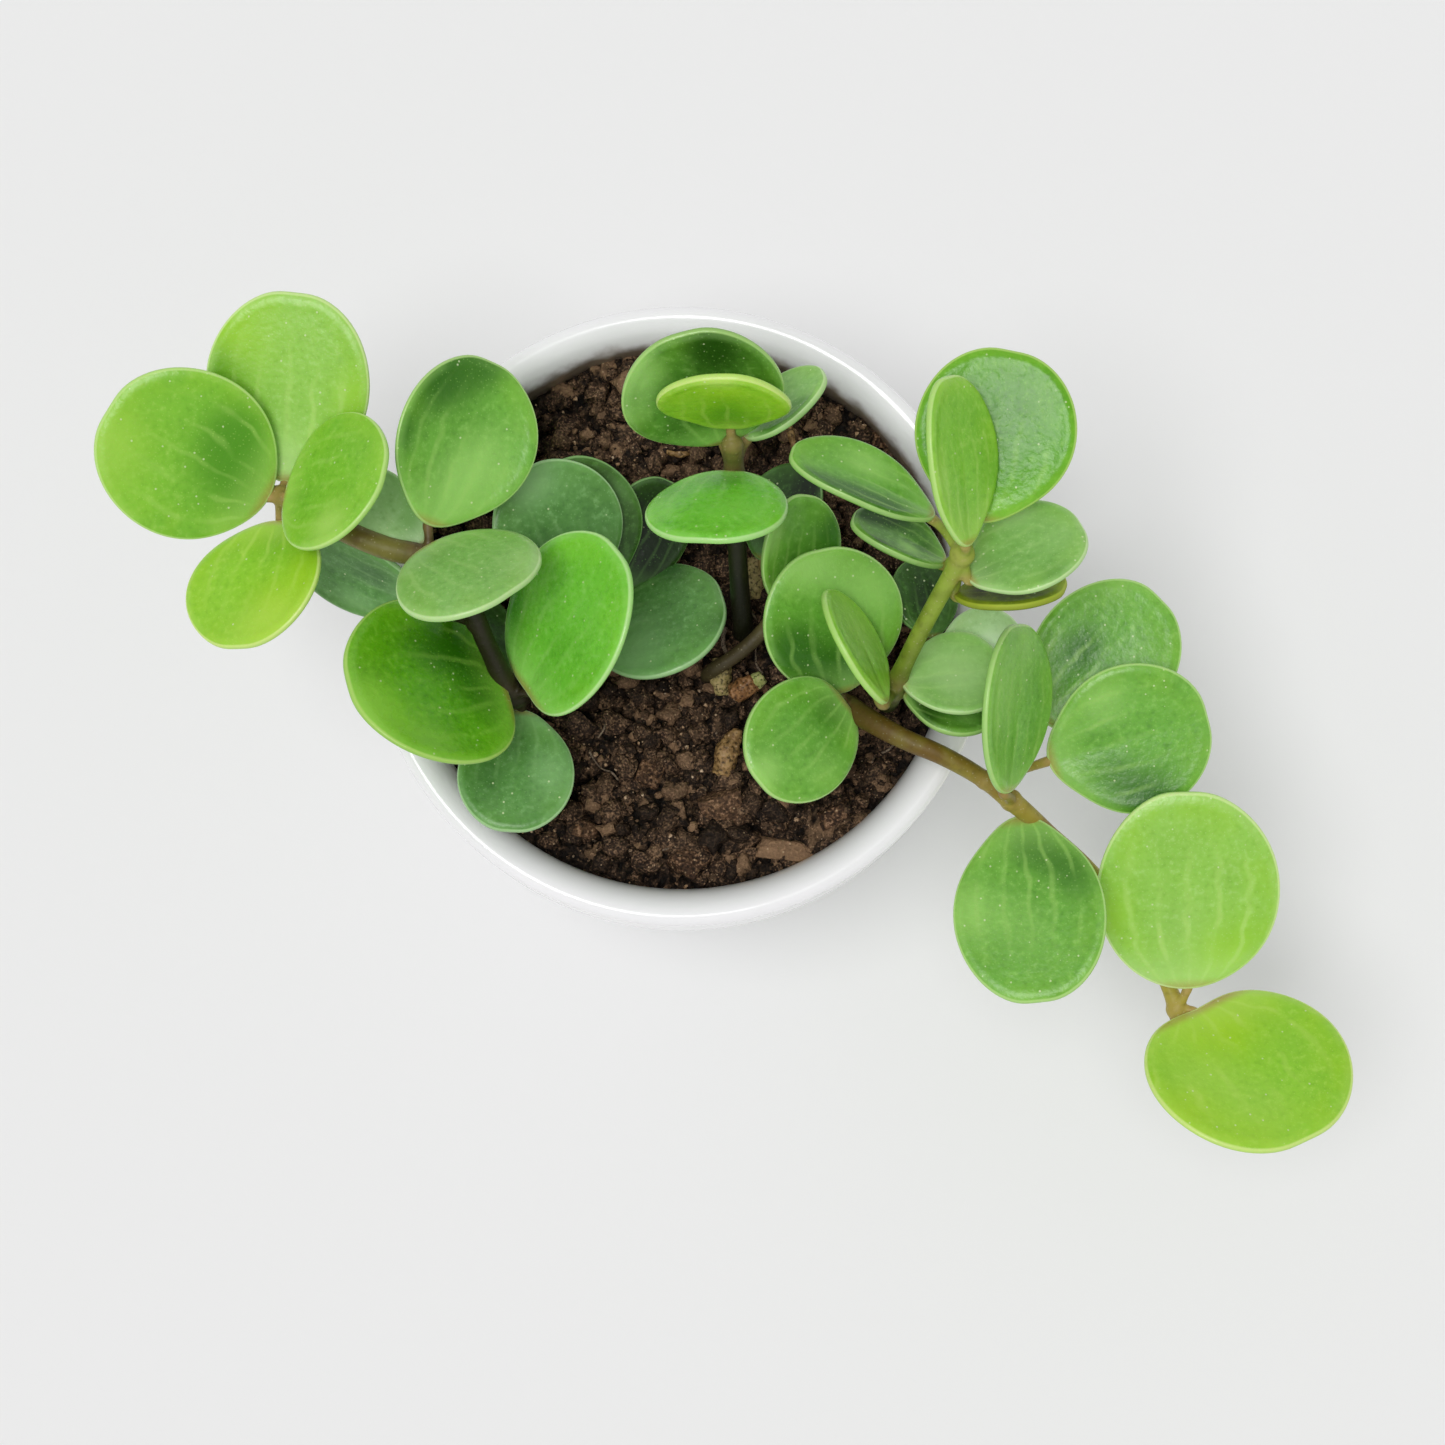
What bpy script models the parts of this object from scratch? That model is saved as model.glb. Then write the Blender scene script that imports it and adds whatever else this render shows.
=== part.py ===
"""A trailing peperomia growing in a small round white glazed pot.

Frame: +Z up, origin at the middle of the pot's underside. Tables are in millimetres and degrees.
The pot and the soil are turned. Every leafy stem is one body: a tapering stem, a short stalk for
each leaf, and thick round leaves in whorls at the stem's joints.
"""
import math
import random
from collections import namedtuple

import bmesh
import bpy
from mathutils import Euler, Vector

MM = 0.001
GAP = 0.3
MERGE = 0.00005
SHARP_ANGLE = math.radians(40)

# Pot
POT_HEIGHT = 70.0
FOOT_RADIUS = 31.5
BELLY_RADIUS = 45.2
BELLY_HEIGHT = 50.0
BELLY_FULLNESS = 0.8
RIM_RADIUS = 44.9
WALL = 5.6
LIP_TOP = 43.4
LIP_DEPTH = 8.0
LIP_FALL = 1.6
LIP_TURN = 2.2
FLOOR = 5.0
FOOT_EDGE = 1.0
WALL_LEVELS = 8
LIP_STEPS = 6
EDGE_STEPS = 3
POT_SIDES = 48

# Soil
SOIL_HEIGHT = 62.0
SOIL_SIDES = 48
SOIL_RINGS = 13
LUMPS = 120
LUMP_RADIUS = (2.5, 6.5)
LUMP_RISE = (0.8, 3.2)
LUMP_BED = 1.4
LUMP_SEED = 5

# Stems stand in plain round holes in the soil
STEM_FOOT = 54.0
HOLE_TOP = 66.0
HOLE_SIDES = 16
STEPS_PER_POINT = 2

# Leaves
LEAF_SIDES = 16
LEAF_RINGS = 6
LEAF_THICKNESS = 1.8
FLATNESS = 0.6
BASE_SPREAD = 0.42
NOTCH = 0.025
NOTCH_SPREAD = 0.22
TIP_CURL = 0.05
STALK_RADIUS = 0.75
STALK_SUNK = 3.2
STALK_BEND = 0.3

# A blade starts at its root, points along its heading (from +X towards +Y), rises by its pitch and
# turns about its own length by its roll. Cup lifts both side edges, as a part of half the width.
# Base draws the outline out to a point at the root, or in to a heart shape where it is negative.
Leaf = namedtuple("Leaf", "root heading pitch roll length width cup base")
# A whorl is the joint of the stem that its leaves' stalks start from.
Whorl = namedtuple("Whorl", "joint leaves")
# A route point is x, y, z and the stem's radius there.
Shoot = namedtuple("Shoot", "route whorls colour")

YOUNG_GREEN = (0.27, 0.52, 0.07, 1.0)
MID_GREEN = (0.14, 0.40, 0.06, 1.0)
OLD_GREEN = (0.06, 0.22, 0.05, 1.0)

SHOOTS = {
    # Leaves the pot on the left, over the rim, and ends in a whorl of four
    "shoot_left": Shoot(
        route=(
            (-20.5, -9.3, STEM_FOOT, 1.7), (-20.5, -9.3, 65, 1.7), (-22, -11.3, 71, 1.6),
            (-23.5, -12.3, 75, 1.9), (-26.5, -6.8, 80.5, 1.4), (-30, 0.7, 84.5, 1.4),
            (-34.5, 5.2, 86.5, 1.7), (-40.5, 6.8, 87.4, 1.45), (-47, 9.6, 87, 1.4),
            (-52.5, 12.7, 85, 1.3), (-55.5, 14.7, 83.5, 1.4), (-57, 15.7, 83.5, 0.7),
        ),
        whorls=(
            Whorl((-23.5, -12.3, 75), (
                Leaf((-24.2, -12, 78), 180, 38, 28, 25.6, 27, 0.10, -0.06),
                Leaf((-21.5, -12.3, 79), 56, 30, -38, 25.8, 24.6, 0.08, -0.08),
                Leaf((-22.5, -14.3, 72.5), -94, 18, 0, 18.5, 16.5, 0.06, 0.16),
                Leaf((-25, -10.3, 73), 121, -6, 30, 16, 12, 0.10, 0.10),
            )),
            Whorl((-28.3, -3, 82.4), (
                Leaf((-36.6, 0.3, 77.2), 157, 6, -54, 20.4, 14.4, 0.08, 0.04),
            )),
            Whorl((-34.5, 5.2, 86.5), (
                Leaf((-34.5, 9.7, 88), 68, 7, 28, 24.5, 20.2, 0.22, 0.16),
                Leaf((-35, 6.4, 89), -29, 40, -33, 19.2, 20.6, -0.10, -0.02),
                Leaf((-35.9, 6.8, 85), 138, 4, 34, 15.8, 13.2, 0.10, 0.12),
            )),
            Whorl((-55.5, 14.7, 83.5), (
                Leaf((-55.1, 16.7, 83), 84, 26, -2, 27, 22.8, 0.08, 0.16),
                Leaf((-57.3, 14.2, 84), 153, 28, -14, 25.6, 23.8, 0.08, 0.04),
                Leaf((-54.6, 14.2, 86), 6, 42, -21, 20, 20.6, 0.08, 0.03),
                Leaf((-56, 11.4, 82), -105, 22, 30, 20.6, 21.8, 0.10, 0.10),
            )),
        ),
        colour=YOUNG_GREEN,
    ),
    # Short and low, close behind the left one
    "shoot_inner": Shoot(
        route=(
            (-8, -1.8, STEM_FOOT, 1.5), (-8, -1.8, 65, 1.5), (-9.5, -0.3, 67.2, 1.5),
            (-11, 1.2, 69, 1.7), (-12, 2.2, 70.5, 0.9),
        ),
        whorls=(
            Whorl((-11, 1.2, 69), (
                Leaf((-13, 2.7, 70.5), 117, 28, 8, 21, 19, 0.10, 0.16),
                Leaf((-11, 3.2, 68.5), 110, 24, 10, 20.5, 18, 0.10, 0.16),
                Leaf((-9, 3.7, 67.5), 64, 8, 20, 17.5, 12.5, 0.08, 0.16),
                Leaf((-12.7, -5.2, 69.5), 23, 10, -35, 20.5, 20.4, -0.02, 0.06),
            )),
        ),
        colour=OLD_GREEN,
    ),
    # Stands up in the middle and leans to the back
    "shoot_upright": Shoot(
        route=(
            (9, -1.8, STEM_FOOT, 1.6), (9, -1.8, 65, 1.6), (8.5, 1.7, 73, 1.45), (8, 7.7, 80, 1.35),
            (7.5, 13.2, 84.5, 1.35), (7.5, 16.7, 87, 1.7), (7.5, 18.7, 90, 1.3),
            (7.3, 20.2, 92.5, 1.4), (7.3, 20.7, 94, 0.7),
        ),
        whorls=(
            Whorl((7.5, 16.7, 87), (
                Leaf((6, 20.7, 91), 116, 56, -17, 21.5, 22, 0.14, 0.10),
                Leaf((9, 21.5, 91), 39, 18, -49, 14.2, 10.8, 0.10, 0.16),
                Leaf((7.3, 17, 89), -112, 50, 22, 18.5, 19.5, -0.10, 0.00),
            )),
            Whorl((7.3, 20.2, 92.5), (
                Leaf((7, 22.3, 94.5), 118, 79, -30, 17, 18, 0.08, 0.35),
            )),
        ),
        colour=MID_GREEN,
    ),
    # A short slanting one at its foot
    "shoot_short": Shoot(
        route=(
            (4.5, -7.8, STEM_FOOT, 1.1), (4.5, -7.8, 65, 1.1), (8, -5.8, 67.5, 1.1),
            (12, -2.3, 69.5, 1.1), (14, 0.2, 71, 1.3), (15, 1.2, 71.5, 0.7),
        ),
        whorls=(
            Whorl((14, 0.2, 71), (
                Leaf((14.5, 0.4, 73.5), 76, 20, 34, 16.6, 12.8, 0.25, 0.12),
                Leaf((11.5, 7.5, 69.5), 68, -2, -26, 15.5, 12, 0.10, 0.16),
            )),
        ),
        colour=OLD_GREEN,
    ),
    # Climbs to the right and ends high above the rim
    "shoot_upper": Shoot(
        route=(
            (30, -12.3, STEM_FOOT, 1.5), (30, -12.3, 66.5, 1.5), (30, -11.8, 75.5, 1.6),
            (31.5, -8.3, 82, 1.25), (34.5, -2.3, 90, 1.25), (37, 2.2, 96, 1.3),
            (38, 4.2, 99, 1.6), (38.5, 5.2, 101.5, 0.7),
        ),
        whorls=(
            Whorl((30, -11.8, 75.5), (
                Leaf((28.5, -14.5, 83), 113, 0, 65, 18, 14.6, 0.04, 0.16),
                Leaf((31, -10.8, 78.5), 6, 1, -29, 15, 14, 0.12, 0.16),
                Leaf((31.5, -11.8, 75), -11, 6, -34, 14, 13, 0.08, 0.16),
                Leaf((37, -5.8, 73.5), 10, -2, -12, 12, 10.5, 0.08, 0.12),
                Leaf((36, -3.8, 70.5), 100, -2, 16, 12, 10, 0.08, 0.12),
            )),
            Whorl((38, 4.2, 99), (
                Leaf((38.4, 4.7, 103), 96, 20, 50, 23, 15.6, 0.10, 0.16),
                Leaf((40.1, 8.7, 98), 79, 15, -5, 23.6, 21.6, 0.06, 0.12),
                Leaf((39, 1.2, 96), 27, 4, -33, 17.2, 15.5, 0.10, 0.16),
                Leaf((37.7, 0, 90), 3, 20, -60, 15.6, 13.6, 0.06, 0.12),
                Leaf((34.5, 9.7, 96), 155, 10, 43, 21.6, 12.4, 0.24, 0.16),
                Leaf((36.5, 4.2, 90), 153, 9, 45, 14.5, 10, 0.24, 0.16),
            )),
        ),
        colour=MID_GREEN,
    ),
    # Crosses the rim and trails down on the right
    "shoot_trailing": Shoot(
        route=(
            (23.5, -13.8, STEM_FOOT, 1.7), (23.5, -13.8, 66, 1.7), (24, -13.8, 70.5, 1.8),
            (26.5, -15.8, 74.5, 1.65), (31.5, -18.8, 77, 1.5), (37, -21.2, 77, 1.4),
            (43, -24.5, 75.3, 1.3), (46.8, -27.2, 73.3, 1.5), (52.8, -31.5, 67.5, 1.15),
            (59.8, -37.3, 62.5, 1.15), (66.7, -45.8, 59.5, 1.1), (70.8, -53.3, 59, 1.1),
            (72, -56.8, 59, 1.4), (72, -59.3, 58.5, 0.7),
        ),
        whorls=(
            Whorl((24, -13.8, 70), (
                Leaf((23, -11.8, 71), 99, 26, 15, 21.8, 21, 0.08, 0.10),
                Leaf((23, -12.8, 74.5), -133, 22, -18, 18.6, 17, -0.06, -0.06),
            )),
            Whorl((43, -24.5, 75.3), (
                Leaf((52.6, -21.4, 69), 15, 10, 14, 23.8, 21.8, 0.08, 0.14),
                Leaf((52, -15.4, 67), 46, 8, 2, 24.8, 20.4, 0.06, 0.08),
            )),
            Whorl((46.8, -27.2, 73.3), (
                Leaf((45.3, -26.8, 81), 84, 14, 57, 24, 19, 0.06, 0.12),
                Leaf((48.5, -29.3, 70), -87, 16, 9, 27.5, 21.5, 0.08, 0.16),
            )),
            Whorl((72, -56.8, 59), (
                Leaf((73.4, -53.8, 61.5), 94, 26, -4, 30.6, 26, 0.06, 0.02),
                Leaf((74.7, -56.9, 60), -52, 32, -27, 26.2, 31.2, 0.05, -0.14),
            )),
        ),
        colour=YOUNG_GREEN,
    ),
}


def clear_scene():
    """Remove every object of the open scene."""
    for obj in list(bpy.data.objects):
        bpy.data.objects.remove(obj, do_unlink=True)


def new_collection(name):
    """Make a collection in the scene."""
    collection = bpy.data.collections.new(name)
    bpy.context.scene.collection.children.link(collection)
    return collection


def new_object(name, mesh, collection):
    """Put a mesh in a collection as a named object."""
    obj = bpy.data.objects.new(name, mesh)
    collection.objects.link(obj)
    return obj


def new_material(name, colour, roughness, coat=0.0):
    """Make a Principled material of one colour."""
    material = bpy.data.materials.new(name)
    material.use_nodes = True
    shader = material.node_tree.nodes["Principled BSDF"]
    shader.inputs["Base Color"].default_value = colour
    shader.inputs["Metallic"].default_value = 0.0
    shader.inputs["Roughness"].default_value = roughness
    shader.inputs["Coat Weight"].default_value = coat
    return material


def outer_radius(height):
    """Radius of the pot's outside at a height above its foot, in mm."""
    share = min(height / BELLY_HEIGHT, 1.0)
    belly = FOOT_RADIUS + (BELLY_RADIUS - FOOT_RADIUS) * math.sin(share * math.pi / 2) ** BELLY_FULLNESS
    above = max(height - BELLY_HEIGHT, 0.0) / (POT_HEIGHT - BELLY_HEIGHT)
    return belly + (RIM_RADIUS - BELLY_RADIUS) * above


def inner_radius(height):
    """Radius of the pot's inside at a height above its foot, in mm, below the lip."""
    return outer_radius(height) - WALL


def turned_mesh(name, profile, sides, collection):
    """Turn a profile of (radius, height) points in mm, top to bottom on its outer side."""
    mesh = bpy.data.meshes.new(name)
    points = [(radius * MM, 0.0, height * MM) for radius, height in profile]
    mesh.from_pydata(points, [(i, i + 1) for i in range(len(points) - 1)], [])
    obj = new_object(name, mesh, collection)
    screw = obj.modifiers.new("Turn", "SCREW")
    screw.steps = sides
    screw.render_steps = sides
    screw.use_merge_vertices = True
    screw.merge_threshold = MERGE
    return obj


def shade_round(mesh):
    """Shade a mesh smooth, with its sharp edges kept."""
    mesh.shade_smooth()
    mesh.set_sharp_from_angle(angle=SHARP_ANGLE)


def build_pot(collection):
    """Turn the pot: inside from the floor up, over the soft lip, and down the outside."""
    lip_foot = POT_HEIGHT - LIP_DEPTH
    spread = LIP_TOP - inner_radius(lip_foot)
    heights = [FLOOR + (lip_foot - FLOOR) * i / WALL_LEVELS for i in range(WALL_LEVELS)]
    profile = [(0.0, FLOOR)]
    profile += [(inner_radius(height), height) for height in heights]
    for i in range(LIP_STEPS):
        down = 1 - i / LIP_STEPS
        profile.append((
            LIP_TOP - spread * (1 - (1 - down) ** LIP_TURN),
            POT_HEIGHT - LIP_DEPTH * down ** LIP_FALL,
        ))
    lip_radius = RIM_RADIUS - LIP_TOP
    for i in range(EDGE_STEPS + 1):
        turn = math.pi / 2 * (1 - i / EDGE_STEPS)
        profile.append((
            LIP_TOP + lip_radius * math.cos(turn),
            POT_HEIGHT - lip_radius + lip_radius * math.sin(turn),
        ))
    profile += [(outer_radius(height), height) for height in reversed(heights)]
    profile += [(outer_radius(FOOT_EDGE), FOOT_EDGE), (FOOT_RADIUS - FOOT_EDGE, 0.0), (0.0, 0.0)]
    pot = turned_mesh("pot", profile, POT_SIDES, collection)
    pot.data.materials.append(new_material("pot_glaze", (0.86, 0.87, 0.88, 1.0), 0.2, 0.5))
    return pot


def soil_lumps():
    """Draw the lumps of the potting mix: middle, radius and rise of each, in mm."""
    draw = random.Random(LUMP_SEED)
    lumps = []
    for _ in range(LUMPS):
        reach = inner_radius(SOIL_HEIGHT) * math.sqrt(draw.random())
        turn = draw.uniform(0.0, 2 * math.pi)
        middle = Vector((reach * math.cos(turn), reach * math.sin(turn)))
        lumps.append((middle, draw.uniform(*LUMP_RADIUS), draw.uniform(*LUMP_RISE)))
    return lumps


def soil_relief(point, lumps):
    """Height of the crumbly surface over the soil's level at a point, in mm."""
    rise = 0.0
    for middle, radius, height in lumps:
        share = (point - middle).length / radius
        if share < 1.0:
            rise = max(rise, height * math.sqrt(1.0 - share * share))
    return rise - LUMP_BED


def build_soil(collection):
    """Fill the pot with soil, raise its lumps, and cut a plain round hole for every stem."""
    low = FLOOR + GAP
    edge = inner_radius(SOIL_HEIGHT) - GAP
    top = [(edge * i / SOIL_RINGS, SOIL_HEIGHT) for i in range(SOIL_RINGS + 1)]
    steps = WALL_LEVELS // 2
    levels = [SOIL_HEIGHT + (low - SOIL_HEIGHT) * i / steps for i in range(1, steps + 1)]
    side = [(inner_radius(height) - GAP, height) for height in levels]
    turned = turned_mesh("soil_turned", top + side + [(0.0, low)], SOIL_SIDES, collection)
    mesh = mesh_of(turned)
    lumps = soil_lumps()
    for vertex in mesh.vertices:
        if vertex.co.z > (SOIL_HEIGHT - GAP) * MM:
            vertex.co.z += soil_relief(vertex.co.xy / MM, lumps) * MM
    soil = new_object("soil", mesh, collection)
    shade_round(mesh)
    mesh.materials.append(new_material("soil_mix", (0.045, 0.022, 0.012, 1.0), 0.95))
    return soil


def cut_holes(soil, cutters):
    """Cut the stems' holes in the soil with cylinders that stay as hidden cutters."""
    for name, shoot in SHOOTS.items():
        x, y, foot, radius = shoot.route[0]
        low = foot - GAP
        cutter = cylinder_mesh("hole_" + name, radius + GAP, HOLE_TOP - low)
        obj = new_object("hole_" + name, cutter, cutters)
        obj.location = Vector((x, y, (low + HOLE_TOP) / 2)) * MM
        obj.hide_render = True
        obj.display_type = "WIRE"
        cut = soil.modifiers.new("Hole for " + name, "BOOLEAN")
        cut.operation = "DIFFERENCE"
        cut.object = obj


def cylinder_mesh(name, radius, height):
    """Make a closed upright cylinder about its own middle, sizes in mm."""
    mesh = bpy.data.meshes.new(name)
    bm = bmesh.new()
    bmesh.ops.create_cone(
        bm, cap_ends=True, segments=HOLE_SIDES, radius1=radius * MM, radius2=radius * MM,
        depth=height * MM,
    )
    bm.to_mesh(mesh)
    bm.free()
    return mesh


def mesh_of(obj):
    """Give an object's evaluated mesh in world space, its caps welded, and remove the object."""
    evaluated = obj.evaluated_get(bpy.context.evaluated_depsgraph_get())
    mesh = bpy.data.meshes.new_from_object(evaluated)
    mesh.transform(obj.matrix_world)
    bm = bmesh.new()
    bm.from_mesh(mesh)
    bmesh.ops.remove_doubles(bm, verts=bm.verts, dist=MERGE / 5)
    bm.to_mesh(mesh)
    bm.free()
    bpy.data.objects.remove(obj, do_unlink=True)
    return mesh


def smooth_route(route):
    """Read the stem's points from a Catmull-Rom curve through a route's own points."""
    knots = [Vector(point) for point in route]
    padded = [2 * knots[0] - knots[1]] + knots + [2 * knots[-1] - knots[-2]]
    points = []
    for a, b, c, d in zip(padded, padded[1:], padded[2:], padded[3:]):
        for i in range(STEPS_PER_POINT):
            t = i / STEPS_PER_POINT
            linear = (c - a) * t
            square = (2 * a - 5 * b + 4 * c - d) * t * t
            cube = (3 * b - a - 3 * c + d) * t * t * t
            points.append(0.5 * (2 * b + linear + square + cube))
    points.append(knots[-1])
    return points


def tube(name, points, collection):
    """Make a closed round tube as a mesh object through (x, y, z, radius) points in mm."""
    curve = bpy.data.curves.new(name, "CURVE")
    curve.dimensions = "3D"
    curve.bevel_depth = MM
    curve.bevel_resolution = 2
    curve.use_fill_caps = True
    curve.render_resolution_u = 0
    spline = curve.splines.new("POLY")
    spline.points.add(len(points) - 1)
    for spot, (x, y, z, radius) in zip(spline.points, points):
        spot.co = (x * MM, y * MM, z * MM, 1.0)
        spot.radius = radius
    guide = new_object(name + "_guide", curve, collection)
    bpy.context.view_layer.update()
    return new_object(name, mesh_of(guide), collection)


def leaf_point(unit, leaf):
    """Place a point of a unit sphere on a blade: its round outline, thick plate, cup and curl."""
    reach = math.hypot(unit.x, unit.y)
    turn = math.atan2(unit.y, unit.x)
    base = leaf.base * math.exp(-(((math.pi - abs(turn)) / BASE_SPREAD) ** 2))
    notch = NOTCH * math.exp(-((turn / NOTCH_SPREAD) ** 2))
    outline = reach ** FLATNESS * (1 + base - notch)
    along = (outline * math.cos(turn) + 1 + leaf.base) / (2 + leaf.base)
    across = outline * math.sin(turn)
    skin = math.copysign(abs(unit.z) ** FLATNESS, unit.z) * LEAF_THICKNESS / 2
    cup = leaf.cup * leaf.width / 2 * across * across
    curl = TIP_CURL * leaf.length * along * along
    return Vector((along * leaf.length, across * leaf.width / 2, skin + cup - curl))


def leaf_turn(leaf):
    """Rotation that turns a blade from +X to its heading, pitch and roll."""
    return Euler([math.radians(a) for a in (leaf.roll, -leaf.pitch, leaf.heading)]).to_matrix()


def leaf_blade(name, leaf, collection):
    """Shape a flattened sphere into one leaf blade at its root."""
    turn = leaf_turn(leaf)
    root = Vector(leaf.root)
    mesh = bpy.data.meshes.new(name)
    bm = bmesh.new()
    bmesh.ops.create_uvsphere(bm, u_segments=LEAF_SIDES, v_segments=LEAF_RINGS, radius=1.0)
    for vertex in bm.verts:
        vertex.co = (root + turn @ leaf_point(vertex.co.copy(), leaf)) * MM
    bm.to_mesh(mesh)
    bm.free()
    return new_object(name, mesh, collection)


def leaf_stalk(name, joint, leaf, collection):
    """Run a short stalk from the stem's joint into the blade's root."""
    start = Vector(joint)
    root = Vector(leaf.root)
    inside = root + leaf_turn(leaf) @ Vector((STALK_SUNK, 0.0, 0.0))
    points = [(*spot, STALK_RADIUS) for spot in (start, root.lerp(start, STALK_BEND), inside)]
    return tube(name, points, collection)


def join_pieces(target, pieces):
    """Unite a collection of closed pieces with the target, then remove them."""
    union = target.modifiers.new("Join", "BOOLEAN")
    union.operation = "UNION"
    union.solver = "EXACT"
    union.operand_type = "COLLECTION"
    union.collection = pieces
    bpy.context.view_layer.update()
    evaluated = target.evaluated_get(bpy.context.evaluated_depsgraph_get())
    joined = bpy.data.meshes.new_from_object(evaluated)
    target.modifiers.remove(union)
    target.data = joined
    for piece in list(pieces.objects):
        bpy.data.objects.remove(piece, do_unlink=True)
    bpy.data.collections.remove(pieces)


def build_shoot(name, shoot, collection):
    """Grow one leafy stem and unite its stem, stalks and blades."""
    pieces = new_collection(name + "_pieces")
    stem = tube(name, smooth_route(shoot.route), collection)
    for w, whorl in enumerate(shoot.whorls):
        for i, leaf in enumerate(whorl.leaves):
            leaf_stalk(f"{name}_stalk_{w}_{i}", whorl.joint, leaf, pieces)
            leaf_blade(f"{name}_blade_{w}_{i}", leaf, pieces)
    join_pieces(stem, pieces)
    shade_round(stem.data)
    stem.data.materials.clear()
    stem.data.materials.append(new_material(name + "_leaf", shoot.colour, 0.35, 0.2))
    return stem


def main():
    """Build the pot, its soil and every leafy stem."""
    clear_scene()
    parts = new_collection("trailing_peperomia")
    cutters = new_collection("cutters")
    build_pot(parts)
    soil = build_soil(parts)
    cut_holes(soil, cutters)
    for name, shoot in SHOOTS.items():
        build_shoot(name, shoot, parts)


main()
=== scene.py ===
"""A trailing peperomia in a round white glazed pot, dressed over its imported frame.

The frame gives the pot, the soil and six leafy stems at their real size and place. Here each of
them is replaced by finer pieces of the same form: a turned and glazed pot, a bed of crumbly
potting mix with bark, grit and old stubs, a stem with its stalks for every shoot, and one thick
waxy blade for every leaf. Tables are in millimetres and degrees, Blender's own sizes in metres.
"""
import logging
import math
import random
import sys
from contextlib import contextmanager
from dataclasses import dataclass
from enum import Enum
from typing import Any, Callable, Iterator, Mapping, Optional, Sequence, Union

import bmesh
import bpy
from mathutils import Euler, Matrix, Vector, kdtree, noise


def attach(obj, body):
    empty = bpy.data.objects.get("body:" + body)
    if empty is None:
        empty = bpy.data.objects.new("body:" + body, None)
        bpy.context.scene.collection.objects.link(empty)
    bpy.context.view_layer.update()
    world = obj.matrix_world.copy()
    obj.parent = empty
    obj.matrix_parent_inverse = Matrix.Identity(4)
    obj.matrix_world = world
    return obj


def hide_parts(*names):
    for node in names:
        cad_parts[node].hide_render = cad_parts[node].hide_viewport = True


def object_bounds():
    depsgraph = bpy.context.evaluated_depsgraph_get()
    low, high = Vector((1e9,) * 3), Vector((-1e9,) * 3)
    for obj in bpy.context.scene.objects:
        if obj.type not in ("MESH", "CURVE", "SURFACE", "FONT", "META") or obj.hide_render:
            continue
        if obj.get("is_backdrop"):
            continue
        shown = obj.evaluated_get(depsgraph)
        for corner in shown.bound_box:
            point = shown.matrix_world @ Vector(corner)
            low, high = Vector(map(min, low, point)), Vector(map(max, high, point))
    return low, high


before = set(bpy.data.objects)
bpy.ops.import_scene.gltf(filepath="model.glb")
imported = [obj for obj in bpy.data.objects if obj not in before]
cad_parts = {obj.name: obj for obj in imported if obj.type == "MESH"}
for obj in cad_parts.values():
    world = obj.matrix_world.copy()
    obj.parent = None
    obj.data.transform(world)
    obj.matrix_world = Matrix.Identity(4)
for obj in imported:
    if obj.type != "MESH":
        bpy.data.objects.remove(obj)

LOG = logging.getLogger("peperomia")
MM = 0.001
FULL_TURN = 2 * math.pi
FULLY_RAISED = 1.0
EVEN_TINT = 0.5
ROOT = "root"
# Noise vectors start from the clock unless this is set
NOISE_SEED = 5

Colour = tuple[float, float, float, float]
Spot2 = tuple[float, float]
Spot3 = tuple[float, float, float]
Knot = tuple[float, float, float, float]
Pair = tuple[float, float]
Value = Union["Wire", float, Sequence[float]]


def srgb(red: int, green: int, blue: int) -> Colour:
    """Turn a colour as seen on a screen, 0 to 255, into Blender's linear values.

    Args:
        red: Red on the screen.
        green: Green on the screen.
        blue: Blue on the screen.

    Returns:
        The linear colour with full alpha.
    """
    linear = []
    for level in (red, green, blue):
        share = level / 255
        linear.append(share / 12.92 if share <= 0.04045 else ((share + 0.055) / 1.055) ** 2.4)
    return (linear[0], linear[1], linear[2], 1.0)


def bell(value: float, spread: float) -> float:
    """Fall off smoothly from 1 at a value of 0, on both sides."""
    return math.exp(-((value / spread) ** 2))


def limit(value: float, low: float = 0.0, high: float = 1.0) -> float:
    """Keep a value between two others."""
    return max(low, min(high, value))


def polar(reach: float, turn: float) -> Spot2:
    """Give the place at a distance from the middle, in a direction."""
    return reach * math.cos(turn), reach * math.sin(turn)


def spot_on_disc(draw: random.Random, radius: float) -> Spot2:
    """Draw a place on a round disc, as likely here as there."""
    reach = radius * math.sqrt(draw.random())
    return polar(reach, draw.uniform(0.0, FULL_TURN))


def round_off(x: float, y: float) -> Spot2:
    """Map a square from -1 to 1 evenly on a round disc.

    Args:
        x: Across the square.
        y: Up the square.

    Returns:
        The place on the disc of radius 1.
    """
    if x == 0.0 and y == 0.0:
        return 0.0, 0.0
    if abs(x) > abs(y):
        return polar(x, math.pi / 4 * y / x)
    return polar(y, math.pi / 2 - math.pi / 4 * x / y)


def tree_of(spots: Sequence[Vector]) -> kdtree.KDTree:
    """Sort places so that those near a point are found fast.

    Args:
        spots: The places.

    Returns:
        The sorted tree, which knows each place by its number in the list.
    """
    tree = kdtree.KDTree(len(spots))
    for i, spot in enumerate(spots):
        tree.insert(spot, i)
    tree.balance()
    return tree


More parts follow.
